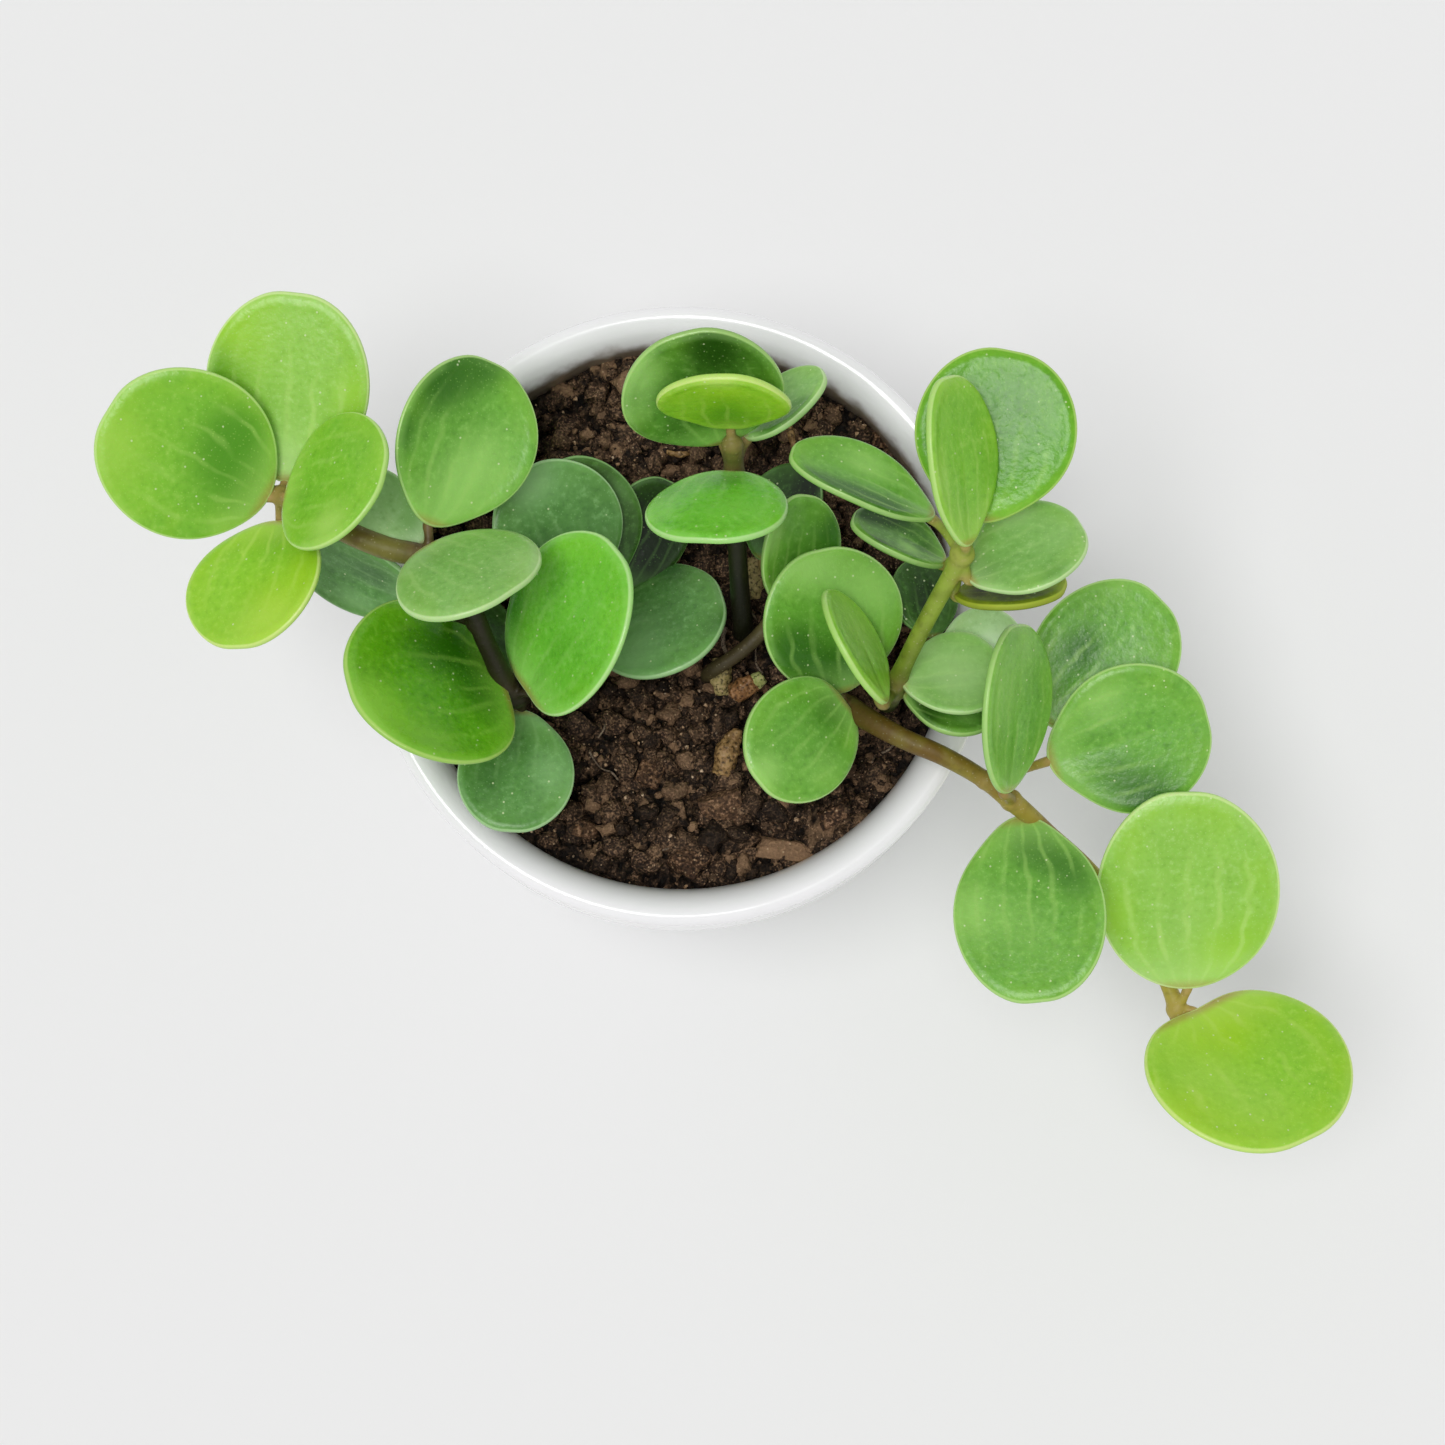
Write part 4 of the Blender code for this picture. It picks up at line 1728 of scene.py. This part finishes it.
SHOOTS: tuple[Shoot, ...] = (
    # Leaves the pot on the left, over the rim, and ends in a whorl of four
    Shoot(
        node="shoot_left",
        skin=BROWN_SKIN,
        slot="leaf_young",
        shade=(1.0, 1.0, 1.0, 1.0, 1.0, 0.3, 0.0, 0.0, 0.0),
        route=(
            (-20.5, -9.3, 54, 1.7), (-20.5, -9.3, 65, 1.7), (-22, -11.3, 71, 1.6),
            (-23.5, -12.3, 75, 1.9), (-26.5, -6.8, 80.5, 1.4), (-30, 0.7, 84.5, 1.4),
            (-34.5, 5.2, 86.5, 1.7), (-40.5, 6.8, 87.4, 1.65), (-47, 9.6, 87, 1.6),
            (-52.5, 12.7, 85, 1.3), (-55.5, 14.7, 83.5, 1.4), (-57, 15.7, 83.5, 0.7),
        ),
        whorls=(
            Whorl((-23.5, -12.3, 75), (
                Leaf((-24.2, -12, 78), 180, 38, 28, 25.6, 27, 0.10, -0.06, Tone.VIVID, (
                    Patch(0.1, -0.5, 0.55, 1.0), Patch(0.15, 0.2, 0.4, 0.6),
                    Patch(0.45, -0.4, 0.4, 0.5), Patch(0.95, 0.3, 0.5, -0.8),
                    Patch(0.6, 0.8, 0.4, -0.4))),
                Leaf((-21.5, -12.3, 79), 56, 30, -38, 25.8, 24.6, 0.08, -0.08, Tone.BRIGHT, (
                    Patch(0.05, 0.8, 0.45, 1.0), Patch(0.3, 0.95, 0.3, 0.9),
                    Patch(0.15, -0.2, 0.3, 0.2))),
                Leaf((-22.5, -14.3, 72.5), -94, 18, 0, 18.5, 16.5, 0.06, 0.16, Tone.TEAL, (
                    Patch(0.6, -0.5, 0.5, 0.5), Patch(0.5, 0.6, 0.5, -0.5))),
                Leaf((-25, -10.3, 73), 121, -6, 30, 16, 12, 0.10, 0.10, Tone.DEEP, (
                    Patch(0.5, 0.0, 0.8, 0.3),)),
            )),
            Whorl((-28.3, -3, 82.4), (
                Leaf((-36.6, 0.3, 77.2), 157, 6, -54, 20.4, 14.4, 0.08, 0.04, Tone.TEAL, (
                    Patch(0.4, -0.4, 0.5, 0.6), Patch(0.45, 0.5, 0.35, -0.5))),
            )),
            Whorl((-34.5, 5.2, 86.5), (
                Leaf((-34.5, 9.7, 88), 68, 7, 28, 24.5, 20.2, 0.22, 0.16, Tone.JADE, (
                    Patch(0.8, 0.6, 0.5, 1.0), Patch(0.95, 0.0, 0.35, 0.6), Patch(0.4, 0.9, 0.3, 0.6),
                    Patch(0.4, -0.3, 0.6, -0.7), Patch(0.15, 0.0, 0.4, -0.3))),
                Leaf((-35, 6.4, 89), -29, 40, -33, 19.2, 20.6, -0.10, -0.02, Tone.SAGE, (
                    Patch(0.15, -0.2, 0.5, 0.35), Patch(0.8, 0.6, 0.5, -0.4))),
                Leaf((-35.9, 6.8, 85), 138, 4, 20, 15.8, 11.8, 0.10, 0.12, Tone.PALE, (
                    Patch(0.15, -0.2, 0.4, 0.8), Patch(0.3, -0.8, 0.4, 0.6))),
            )),
            Whorl((-55.5, 14.7, 83.5), (
                Leaf((-55.1, 16.7, 83), 84, 26, -2, 27, 22.8, 0.08, 0.16, Tone.FRESH, (
                    Patch(0.1, 0.0, 0.5, -0.6), Patch(0.5, 0.9, 0.4, 0.9), Patch(0.25, 0.8, 0.4, 0.6),
                    Patch(0.75, 0.7, 0.5, 0.0, 0.8), Patch(0.5, -0.9, 0.35, 0.0, 0.6))),
                Leaf((-57.3, 14.2, 84), 153, 28, -14, 25.6, 23.8, 0.08, 0.04, Tone.GRASS, (
                    Patch(0.1, 0.0, 0.5, 0.8), Patch(0.35, -0.5, 0.45, 0.8), Patch(0.4, 0.0, 0.4, 0.3),
                    Patch(0.95, 0.4, 0.6, -0.4, 0.8))),
                Leaf((-54.6, 14.2, 86), 6, 42, -21, 20, 20.6, 0.08, 0.03, Tone.GRASS, (
                    Patch(0.6, -0.7, 0.4, -0.7, 0.3), Patch(0.15, 0.7, 0.35, -0.4),
                    Patch(0.4, 0.2, 0.5, 0.2))),
                Leaf((-56, 11.4, 82), -105, 22, 30, 20.6, 21.8, 0.10, 0.10, Tone.LIME, (
                    Patch(0.1, 0.2, 0.5, 0.6), Patch(0.75, 0.5, 0.5, -0.4, 0.8),
                    Patch(0.9, 0.0, 0.4, -0.2), Patch(0.3, 0.9, 0.35, 0.4, 0.9))),
            )),
        ),
    ),
    # Short and low, close behind the left one
    Shoot(
        node="shoot_inner",
        skin=OLIVE_SKIN,
        slot="leaf_old",
        shade=(1.0, 0.8),
        route=(
            (-8, -1.8, 54, 1.5), (-8, -1.8, 65, 1.5), (-9.5, -0.3, 67.2, 1.5),
            (-11, 1.2, 69, 1.7), (-12, 2.2, 70.5, 0.9),
        ),
        whorls=(
            Whorl((-11, 1.2, 69), (
                Leaf((-13, 2.7, 70.5), 117, 28, 8, 21, 19, 0.10, 0.16, Tone.TEAL, (
                    Patch(0.95, 0.1, 0.5, -0.8), Patch(0.5, 0.1, 0.4, 0.3), Patch(0.9, 0.9, 0.3, 0.6))),
                Leaf((-11, 3.2, 68.5), 110, 24, 10, 20.5, 18, 0.10, 0.16, Tone.DEEP, (
                    Patch(0.65, -0.8, 0.3, -0.5), Patch(0.3, 0.2, 0.6, 0.8))),
                Leaf((-9, 3.7, 67.5), 64, 8, 20, 17.5, 12.5, 0.08, 0.16, Tone.DEEP, (
                    Patch(0.5, 0.0, 1.2, 1.0),)),
                Leaf((-12.7, -5.2, 69.5), 23, 10, -35, 20.5, 20.4, -0.02, 0.06, Tone.TEAL, (
                    Patch(0.2, -0.5, 0.6, -0.7), Patch(0.4, 0.0, 0.4, -0.3), Patch(0.7, 0.8, 0.4, 0.8),
                    Patch(0.95, -0.6, 0.3, 0.7))),
            )),
        ),
    ),
    # Stands up in the middle and leans to the back
    Shoot(
        node="shoot_upright",
        skin=OLIVE_SKIN,
        slot="leaf_mid",
        shade=(1.0, 1.0, 1.0, 0.9, 0.8, 0.2, 0.0),
        route=(
            (9, -1.8, 54, 1.6), (9, -1.8, 65, 1.6), (8.5, 1.7, 73, 1.45), (8, 7.7, 80, 1.35),
            (7.5, 13.2, 84.5, 1.35), (7.5, 16.7, 87, 1.7), (7.5, 18.7, 90, 1.3),
            (7.3, 20.2, 92.5, 1.4), (7.3, 20.7, 94, 0.7),
        ),
        whorls=(
            Whorl((7.5, 16.7, 87), (
                Leaf((6, 20.7, 91), 116, 56, -17, 21.5, 22, 0.14, 0.10, Tone.MOSS, (
                    Patch(0.85, -0.3, 0.45, 1.0), Patch(0.8, 0.6, 0.4, -0.8), Patch(0.3, 0.4, 0.4, 0.5),
                    Patch(0.5, 0.85, 0.3, -0.5))),
                Leaf((9, 21.5, 91), 39, 18, -49, 14.2, 10.8, 0.10, 0.16, Tone.SAGE, (
                    Patch(0.3, -0.6, 0.6, 1.0), Patch(0.65, -0.8, 0.35, 1.0),
                    Patch(0.65, 0.4, 0.5, -0.2))),
                Leaf((7.3, 17, 89), -112, 50, 22, 18.5, 19.5, -0.10, 0.00, Tone.BRIGHT, (
                    Patch(0.08, 0.0, 0.5, 0.9), Patch(0.35, -0.8, 0.35, 0.5),
                    Patch(0.6, 0.4, 0.6, -0.3), Patch(0.9, -0.8, 0.3, 0.4))),
            )),
            Whorl((7.3, 20.2, 92.5), (
                Leaf((7, 22.3, 94.5), 118, 79, -30, 17, 18, 0.08, 0.35, Tone.LIME, (
                    Patch(0.35, 0.0, 0.5, 0.8, 0.5), Patch(0.7, -0.1, 0.5, 0.4, 0.5),
                    Patch(0.99, 0.0, 0.35, -1.0))),
            )),
        ),
    ),
    # A short slanting one at its foot
    Shoot(
        node="shoot_short",
        skin=PALE_SKIN,
        slot="leaf_old",
        shade=(0.8, 0.4, 0.3, 0.3),
        route=(
            (4.5, -7.8, 54, 1.1), (4.5, -7.8, 65, 1.1), (8, -5.8, 67.5, 1.1),
            (12, -2.3, 69.5, 1.1), (14, 0.2, 71, 1.3), (15, 1.2, 71.5, 0.7),
        ),
        whorls=(
            Whorl((14, 0.2, 71), (
                Leaf((14.5, 0.4, 73.5), 76, 20, 34, 16.6, 12.8, 0.25, 0.12, Tone.JADE, (
                    Patch(0.6, 0.9, 0.4, -0.9), Patch(0.7, -0.8, 0.5, 1.0), Patch(0.4, 0.0, 0.5, 0.4))),
                Leaf((11.5, 7.5, 69.5), 68, -2, -26, 15.5, 12, 0.10, 0.16, Tone.DEEP, (
                    Patch(0.9, 0.8, 0.3, -0.8), Patch(0.8, -0.5, 0.6, 1.0))),
            )),
        ),
    ),
    # Climbs to the right and ends high above the rim
    Shoot(
        node="shoot_upper",
        skin=GREEN_SKIN,
        slot="leaf_mid",
        shade=(1.0, 0.8, 0.2, 0.0, 0.0, 0.0),
        route=(
            (30, -12.3, 54, 1.5), (30, -12.3, 66.5, 1.5), (30, -11.8, 75.5, 1.6),
            (31.5, -8.3, 82, 1.25), (34.5, -2.3, 90, 1.25), (37, 2.2, 96, 1.3),
            (38, 4.2, 99, 1.6), (38.5, 5.2, 101.5, 0.7),
        ),
        whorls=(
            Whorl((30, -11.8, 75.5), (
                Leaf((28.5, -14.5, 83), 113, 0, 65, 18, 14.6, 0.04, 0.16, Tone.GRASS, (
                    Patch(0.35, -0.7, 0.3, 0.2), Patch(0.6, 0.0, 0.8, -0.5))),
                Leaf((31, -10.8, 78.5), 6, 1, -29, 15, 14, 0.12, 0.16, Tone.SAGE, (
                    Patch(0.1, -0.6, 0.4, 0.5), Patch(0.2, 0.8, 0.3, -0.7), Patch(0.5, 0.0, 0.8, -0.65))),
                Leaf((31.5, -11.8, 75), -11, 6, -34, 14, 13, 0.08, 0.16, Tone.MOSS, (
                    Patch(0.2, -0.8, 0.5, 1.0), Patch(0.5, 0.5, 0.6, 0.8), Patch(0.65, -0.4, 0.3, -0.6))),
                Leaf((37, -5.8, 73.5), 10, -2, -12, 12, 10.5, 0.08, 0.12, Tone.PALE, (
                    Patch(0.6, -0.1, 0.5, -0.8), Patch(0.1, 0.5, 0.4, 0.3))),
                Leaf((36, -3.8, 70.5), 100, -2, 16, 12, 10, 0.08, 0.12, Tone.DEEP, (
                    Patch(0.35, -0.4, 0.25, -0.8), Patch(0.6, 0.8, 0.3, -0.6),
                    Patch(0.5, 0.0, 0.8, 0.7))),
            )),
            Whorl((38, 4.2, 99), (
                Leaf((38.4, 4.7, 103), 96, 20, 50, 23, 15.6, 0.10, 0.16, Tone.GRASS, (
                    Patch(0.15, 0.0, 0.4, 0.2), Patch(0.4, -0.8, 0.4, 0.3),
                    Patch(0.45, 0.85, 0.35, -0.5))),
                Leaf((40.1, 8.7, 98), 79, 15, -5, 23.6, 21.6, 0.06, 0.12, Tone.VIVID, (
                    Patch(0.1, -0.8, 0.4, -0.3), Patch(0.6, 0.0, 1.0, 0.4))),
                Leaf((39, 1.2, 96), 27, 4, -33, 17.2, 15.5, 0.10, 0.16, Tone.SAGE, (
                    Patch(0.1, 0.0, 0.4, 0.8), Patch(0.55, 0.9, 0.4, -0.9), Patch(0.6, -0.8, 0.3, 0.5),
                    Patch(0.8, 0.0, 0.6, -0.3))),
                Leaf((37.7, 0, 90), 3, 20, -60, 15.6, 13.6, 0.06, 0.12, Tone.OLIVE, (
                    Patch(0.15, -0.2, 0.5, 1.0), Patch(0.95, 0.0, 0.4, -0.8))),
                Leaf((34.5, 9.7, 96), 155, 10, 43, 21.6, 12.4, 0.24, 0.16, Tone.JADE, (
                    Patch(0.2, 0.8, 0.6, 1.0), Patch(0.55, 0.8, 0.5, 1.0), Patch(0.9, 0.8, 0.4, 0.8),
                    Patch(0.5, -0.4, 0.5, -0.7))),
                Leaf((36.5, 4.2, 90), 153, 9, 45, 14.5, 10, 0.24, 0.16, Tone.MOSS, (
                    Patch(0.4, 0.4, 0.35, -0.8), Patch(0.7, -0.6, 0.6, 1.0),
                    Patch(0.95, -0.4, 0.5, 1.0), Patch(0.7, 0.9, 0.3, 0.8), Patch(0.15, 0.0, 0.4, 0.7))),
            )),
        ),
    ),
    # Crosses the rim and trails down on the right
    Shoot(
        node="shoot_trailing",
        skin=GOLDEN_SKIN,
        slot="leaf_young",
        shade=(0.9, 0.8, 0.5, 0.1, 0.0, 0.0, 0.0),
        route=(
            (23.5, -13.8, 54, 1.7), (23.5, -13.8, 66, 1.7), (24, -13.8, 70.5, 1.8),
            (26.5, -15.8, 74.5, 1.65), (31.5, -18.8, 77, 1.5), (37, -21.2, 77, 1.4),
            (43, -24.5, 75.3, 1.3), (46.8, -27.2, 73.3, 1.5), (52.8, -31.5, 67.5, 1.15),
            (59.8, -37.3, 62.5, 1.15), (66.7, -45.8, 59.5, 1.1), (70.8, -53.3, 59, 1.1),
            (72, -56.8, 59, 1.4), (72, -59.3, 58.5, 0.7),
        ),
        whorls=(
            Whorl((24, -13.8, 70), (
                Leaf((23, -11.8, 71), 99, 26, 15, 21.8, 21, 0.08, 0.10, Tone.JADE, (
                    Patch(0.4, 0.6, 0.5, 1.0), Patch(0.15, 0.0, 0.4, 1.0), Patch(0.95, 0.3, 0.6, -0.8),
                    Patch(0.65, -0.6, 0.5, -0.7))),
                Leaf((23, -12.8, 74.5), -133, 22, -18, 18.6, 17, -0.06, -0.06, Tone.JADE, (
                    Patch(0.1, 0.0, 0.5, 0.8), Patch(0.92, -0.1, 0.35, -0.8),
                    Patch(0.5, 0.6, 0.5, -0.4), Patch(0.9, 0.9, 0.3, 0.7))),
            )),
            Whorl((43, -24.5, 75.3), (
                Leaf((52.6, -21.4, 69), 15, 10, 14, 23.8, 21.8, 0.08, 0.14, Tone.JADE, (
                    Patch(0.5, -0.8, 0.45, 0.9), Patch(0.35, -0.3, 0.3, 0.4),
                    Patch(0.4, 0.6, 0.4, -0.6), Patch(0.15, 0.9, 0.3, 0.3))),
                Leaf((52, -15.4, 67), 46, 8, 2, 24.8, 20.4, 0.06, 0.08, Tone.JADE, (
                    Patch(0.45, 0.3, 0.35, 0.9), Patch(0.65, -0.3, 0.35, -0.3),
                    Patch(0.15, 0.0, 0.3, 0.5), Patch(0.95, 0.6, 0.4, -0.5))),
            )),
            Whorl((46.8, -27.2, 73.3), (
                Leaf((45.3, -26.8, 81), 84, 14, 57, 24, 19, 0.06, 0.12, Tone.JADE, (
                    Patch(0.1, 0.0, 0.4, 0.5), Patch(0.6, 0.5, 0.7, -0.5), Patch(0.9, -0.2, 0.4, -0.3))),
                Leaf((48.5, -29.3, 70), -87, 16, 9, 27.5, 21.5, 0.08, 0.16, Tone.JADE, (
                    Patch(0.15, 0.1, 0.4, 0.8), Patch(0.35, 0.6, 0.4, 0.7), Patch(0.5, -0.8, 0.4, -0.6),
                    Patch(0.55, 0.0, 0.5, -0.4))),
            )),
            Whorl((72, -56.8, 59), (
                Leaf((73.4, -53.8, 61.5), 94, 26, -4, 30.6, 26, 0.06, 0.02, Tone.FRESH, (
                    Patch(0.12, -0.4, 0.4, 0.1, 1.0), Patch(0.3, 0.0, 0.5, -0.3),
                    Patch(0.4, 0.95, 0.3, 0.0, 0.7), Patch(0.85, 0.0, 0.5, 0.15))),
                Leaf((74.7, -56.9, 60), -52, 32, -27, 26.2, 31.2, 0.05, -0.14, Tone.LIME, (
                    Patch(0.15, 0.0, 0.5, 0.0, 0.8), Patch(0.35, -0.5, 0.5, -0.4),
                    Patch(0.45, 0.4, 0.4, 0.25), Patch(0.75, -0.2, 0.5, -0.3),
                    Patch(0.6, -0.9, 0.4, 0.0, 0.5))),
            )),
        ),
    ),
)

BARK: tuple[Bark, ...] = (
    # The tan block and the larger dark lumps in front
    Bark((22.3, -28.7), (2.3, 1.3, 1.1), (10, -14, 24), 0.9),
    Bark((1.2, -34.9), (2.2, 1.9, 1.4), (0, 20, 50), 0.6),
    Bark((5.9, -27.7), (2.6, 2.4, 1.8), (30, 0, 15), 0.5),
    Bark((16.0, -33.8), (4.6, 1.5, 1.2), (8, 0, -9), 0.6),
    Bark((-4.6, -22.1), (2.2, 1.5, 1.2), (0, 15, 70), 0.6),
    Bark((27.4, -14.9), (1.8, 1.2, 0.9), (25, 0, 40), 0.4),
    # Chips at the back and by the wall
    Bark((-0.3, 24.3), (1.5, 0.8, 0.6), (0, 20, 30), 0.6),
    Bark((12.6, -10.6), (1.2, 0.7, 0.4), (20, 10, -30), 1.4),
    Bark((32.7, 8.7), (1.5, 1.2, 1.0), (0, 0, 60), 0.5),
    Bark((29.1, 26.5), (1.6, 1.3, 1.0), (10, 25, 0), 0.5),
    Bark((-30.0, -18.8), (2.2, 1.1, 0.9), (0, 18, 130), 0.5),
    Bark((-24.0, 23.2), (2.4, 1.3, 1.0), (15, 0, 80), 0.5),
    Bark((-14.0, -30.8), (2.0, 1.3, 1.0), (0, 25, -20), 0.5),
    Bark((24.0, -2.8), (1.9, 1.3, 0.9), (12, 0, 100), 0.5),
    Bark((18.0, 15.2), (2.1, 1.4, 1.0), (0, -18, 35), 0.5),
)


@dataclass(frozen=True)
class Remnant:
    """A bit of old stem in the mix: its (x, y, z, radius) points and its finish."""

    name: str
    knots: tuple[Knot, ...]
    finish: EarthFinish


DRY_TAN = EarthFinish(srgb(128, 98, 60), srgb(186, 152, 98), 0.4, 0.9, 0.24, 0.6)
RUSTY = EarthFinish(srgb(122, 84, 50), srgb(176, 130, 84), 0.35, 0.9, 0.24, 0.6)
OLIVE_TAN = EarthFinish(srgb(142, 128, 78), srgb(184, 164, 116), 0.5, 0.9, 0.24, 0.6)
PALE_GREEN = EarthFinish(srgb(150, 156, 88), srgb(196, 196, 132), 0.45, 0.9, 0.192, 0.6)
GREY_ROOT = EarthFinish(srgb(120, 104, 88), srgb(158, 142, 122), 0.7, 0.5, 0.192, 0.5)
MIX = EarthFinish(srgb(52, 38, 27), srgb(124, 98, 74), 0.7, 0.8, 0.64, 0.8)
CRUMBLY = EarthFinish(srgb(56, 40, 28), srgb(134, 106, 80), 0.7, 0.7, 0.56, 0.8)
BARKY = EarthFinish(srgb(62, 42, 28), srgb(130, 98, 70), 0.7, 0.9, 0.56, 0.8)
FLECKY = EarthFinish(srgb(176, 140, 104), srgb(226, 204, 176), 0.7, 0.5, 0.16, 0.8)

REMNANTS: tuple[Remnant, ...] = (
    Remnant("dried_leaf_base", (
        (5.9, -22.9, 63.2, 1.5), (6.8, -19.2, 64.0, 1.8), (8.2, -16.3, 64.4, 0.8),
    ), DRY_TAN),
    Remnant("rusty_knob", (
        (7.6, -11.2, 64.2, 1.5), (9.0, -10.4, 65.0, 1.7), (10.6, -9.4, 65.2, 1.3),
    ), RUSTY),
    Remnant("knob_end", ((10.4, -9.6, 65.2, 1.3), (11.8, -8.7, 65.4, 1.0)), PALE_GREEN),
    Remnant("olive_stub", (
        (11.0, 8.6, 64.2, 1.3), (10.6, 5.6, 64.4, 1.5), (10.3, 2.7, 64.2, 1.4),
    ), OLIVE_TAN),
    Remnant("old_joint", (
        (5.9, -6.0, 63.4, 1.5), (5.7, -8.4, 63.4, 1.6), (5.9, -11.1, 62.6, 1.1),
    ), OLIVE_TAN),
    Remnant("grey_root", (
        (6.4, -1.4, 63.8, 0.35), (6.0, -3.4, 64.2, 0.35), (6.6, -5.4, 63.4, 0.3),
    ), GREY_ROOT),
    Remnant("twig", ((15.6, 28.4, 63.6, 0.5), (16.2, 26.0, 64.2, 0.55), (16.8, 23.4, 63.8, 0.45)),
            DRY_TAN),
    Remnant("tan_splinter", (
        (-2.2, 24.6, 63.0, 0.35), (-0.3, 24.1, 63.6, 0.45), (1.6, 24.5, 63.0, 0.3),
    ), DRY_TAN),
)


@dataclass
class Earth:
    """Everything that fills the pot: the mix, what is strewn on it and the old stubs.

    Attributes:
        soil: The potting mix.
    """

    soil: Soil

    # A stub's voxels, and the size and depth of its roughness
    VOXEL = 0.25
    ROUGH_SCALE = 0.9
    ROUGH_DEPTH = 0.3

    def build(self) -> None:
        """Lay the bed first, then everything that lies on it."""
        self.soil.build_bed(MIX.material("potting_mix_finish"))
        self.soil.strew(CRUMBS, CRUMBLY.material("crumb_finish"))
        self.soil.build_bark(BARK, BARKY.material("bark_finish"))
        self.soil.strew(FLECKS, FLECKY.material("fleck_finish"))
        self.soil.build_roots(GREY_ROOT.material("root_finish"))
        for remnant in REMNANTS:
            self.lay(remnant)

    def lay(self, remnant: Remnant) -> bpy.types.Object:
        """Model an old bit of stem: a tube grown rough.

        Args:
            remnant: The bit of stem.

        Returns:
            The finished piece.
        """
        stub = Bench.tube(remnant.name, remnant.knots, 5)
        thick = max(knot[3] for knot in remnant.knots)
        Bench.apply(stub, "REMESH", mode="VOXEL", voxel_size=min(self.VOXEL, thick / 3) * MM)
        for vertex in stub.data.vertices:
            push = noise.noise_vector(vertex.co / MM * self.ROUGH_SCALE)
            vertex.co += push * self.ROUGH_DEPTH * min(1.0, thick) * MM
        return Bench.lay_on_mix(stub, remnant.finish.material(f"{remnant.name}_finish"))


@dataclass(frozen=True)
class Studio:
    """A pale floor, one large soft light from the upper left, and the camera above.

    Attributes:
        floor: The floor's colour.
        sun_strength: The light's strength.
        sun_spread: How wide the light looks, in degrees.
        sun_fall: The direction in which it falls.
        fill: The strength of the white all round.
        spot: The camera's place.
        tilt: How far the camera leans from looking straight down.
        lens: Its focal length.
    """

    floor: Colour = srgb(236, 236, 236)
    sun_strength: float = 1.4
    sun_spread: float = 27.0
    sun_fall: Spot3 = (0.2, 0.09, -1.0)
    fill: float = 0.555
    spot: Spot3 = (5.95, -52.34, 487.1)
    tilt: float = 5.0
    lens: float = 72.93

    FLOOR_SIZE = 4.0
    SENSOR = 36.0
    NEAREST = 0.01
    WHITE = (1.0, 1.0, 1.0, 1.0)

    def build(self) -> None:
        """Set up the floor, the light and the camera."""
        self.lay_floor()
        self.light()
        self.aim()

    def lay_floor(self) -> None:
        """Lay a wide plain floor."""
        floor = Bench.primitive(
            bpy.ops.mesh.primitive_plane_add, "studio_floor", size=self.FLOOR_SIZE)
        numbers = {"Base Color": self.floor, "Roughness": 0.9, "Specular IOR Level": 0.2}
        floor.data.materials.append(Graph("pale_floor").close({}, numbers))
        floor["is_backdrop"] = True

    def light(self) -> None:
        """Hang a large soft sun and fill the room with white."""
        sun = bpy.data.lights.new("window", "SUN")
        sun.energy = self.sun_strength
        sun.angle = math.radians(self.sun_spread)
        lamp = Bench.link("window", sun)
        lamp.rotation_euler = Vector(self.sun_fall).to_track_quat("-Z", "Y").to_euler()
        world = bpy.data.worlds.new("room")
        world.use_nodes = True
        background = world.node_tree.nodes["Background"]
        background.inputs["Color"].default_value = self.WHITE
        background.inputs["Strength"].default_value = self.fill
        bpy.context.scene.world = world

    def aim(self) -> None:
        """Place the camera above the pot and show colours plainly."""
        camera = bpy.data.cameras.new("camera")
        camera.lens = self.lens
        camera.sensor_width = self.SENSOR
        camera.clip_start = self.NEAREST
        camera.dof.use_dof = False
        eye = Bench.link("camera", camera)
        eye.location = Vector(self.spot) * MM
        eye.rotation_euler = (math.radians(self.tilt), 0.0, 0.0)
        bpy.context.scene.camera = eye
        bpy.context.scene.view_settings.view_transform = "Standard"


def write_sizes(first: Any) -> None:
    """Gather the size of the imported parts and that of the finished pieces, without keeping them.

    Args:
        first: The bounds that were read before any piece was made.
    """
    {"cad": plain(first), "visual": plain(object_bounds())}


def plain(value: Any) -> Any:
    """Turn bounds into plain lists of numbers.

    Args:
        value: The bounds, or a part of them.

    Returns:
        The same in dictionaries, lists, numbers and words.
    """
    if isinstance(value, (int, float, str)) or value is None:
        return value
    if isinstance(value, Mapping):
        return {str(key): plain(item) for key, item in value.items()}
    return [plain(item) for item in value]


def main() -> None:
    """Build the pot, the mix, every shoot and the studio."""
    logging.basicConfig(level=logging.INFO, format="%(name)s: %(message)s", stream=sys.stdout)
    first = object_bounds()
    noise.seed_set(NOISE_SEED)
    pot = Pot()
    pot.build(GlazeFinish())
    Earth(Soil(pot)).build()
    pattern = Bench.primitive(
        bpy.ops.mesh.primitive_uv_sphere_add, "blade_pattern", segments=88, ring_count=36,
        radius=1.0)
    tones = {tone: look.material(f"leaf_{tone.value}") for tone, look in TONES.items()}
    for shoot in SHOOTS:
        shoot.build(pattern, tones)
    bpy.data.objects.remove(pattern, do_unlink=True)
    Studio().build()
    write_sizes(first)


if __name__ == "__main__":
    main()
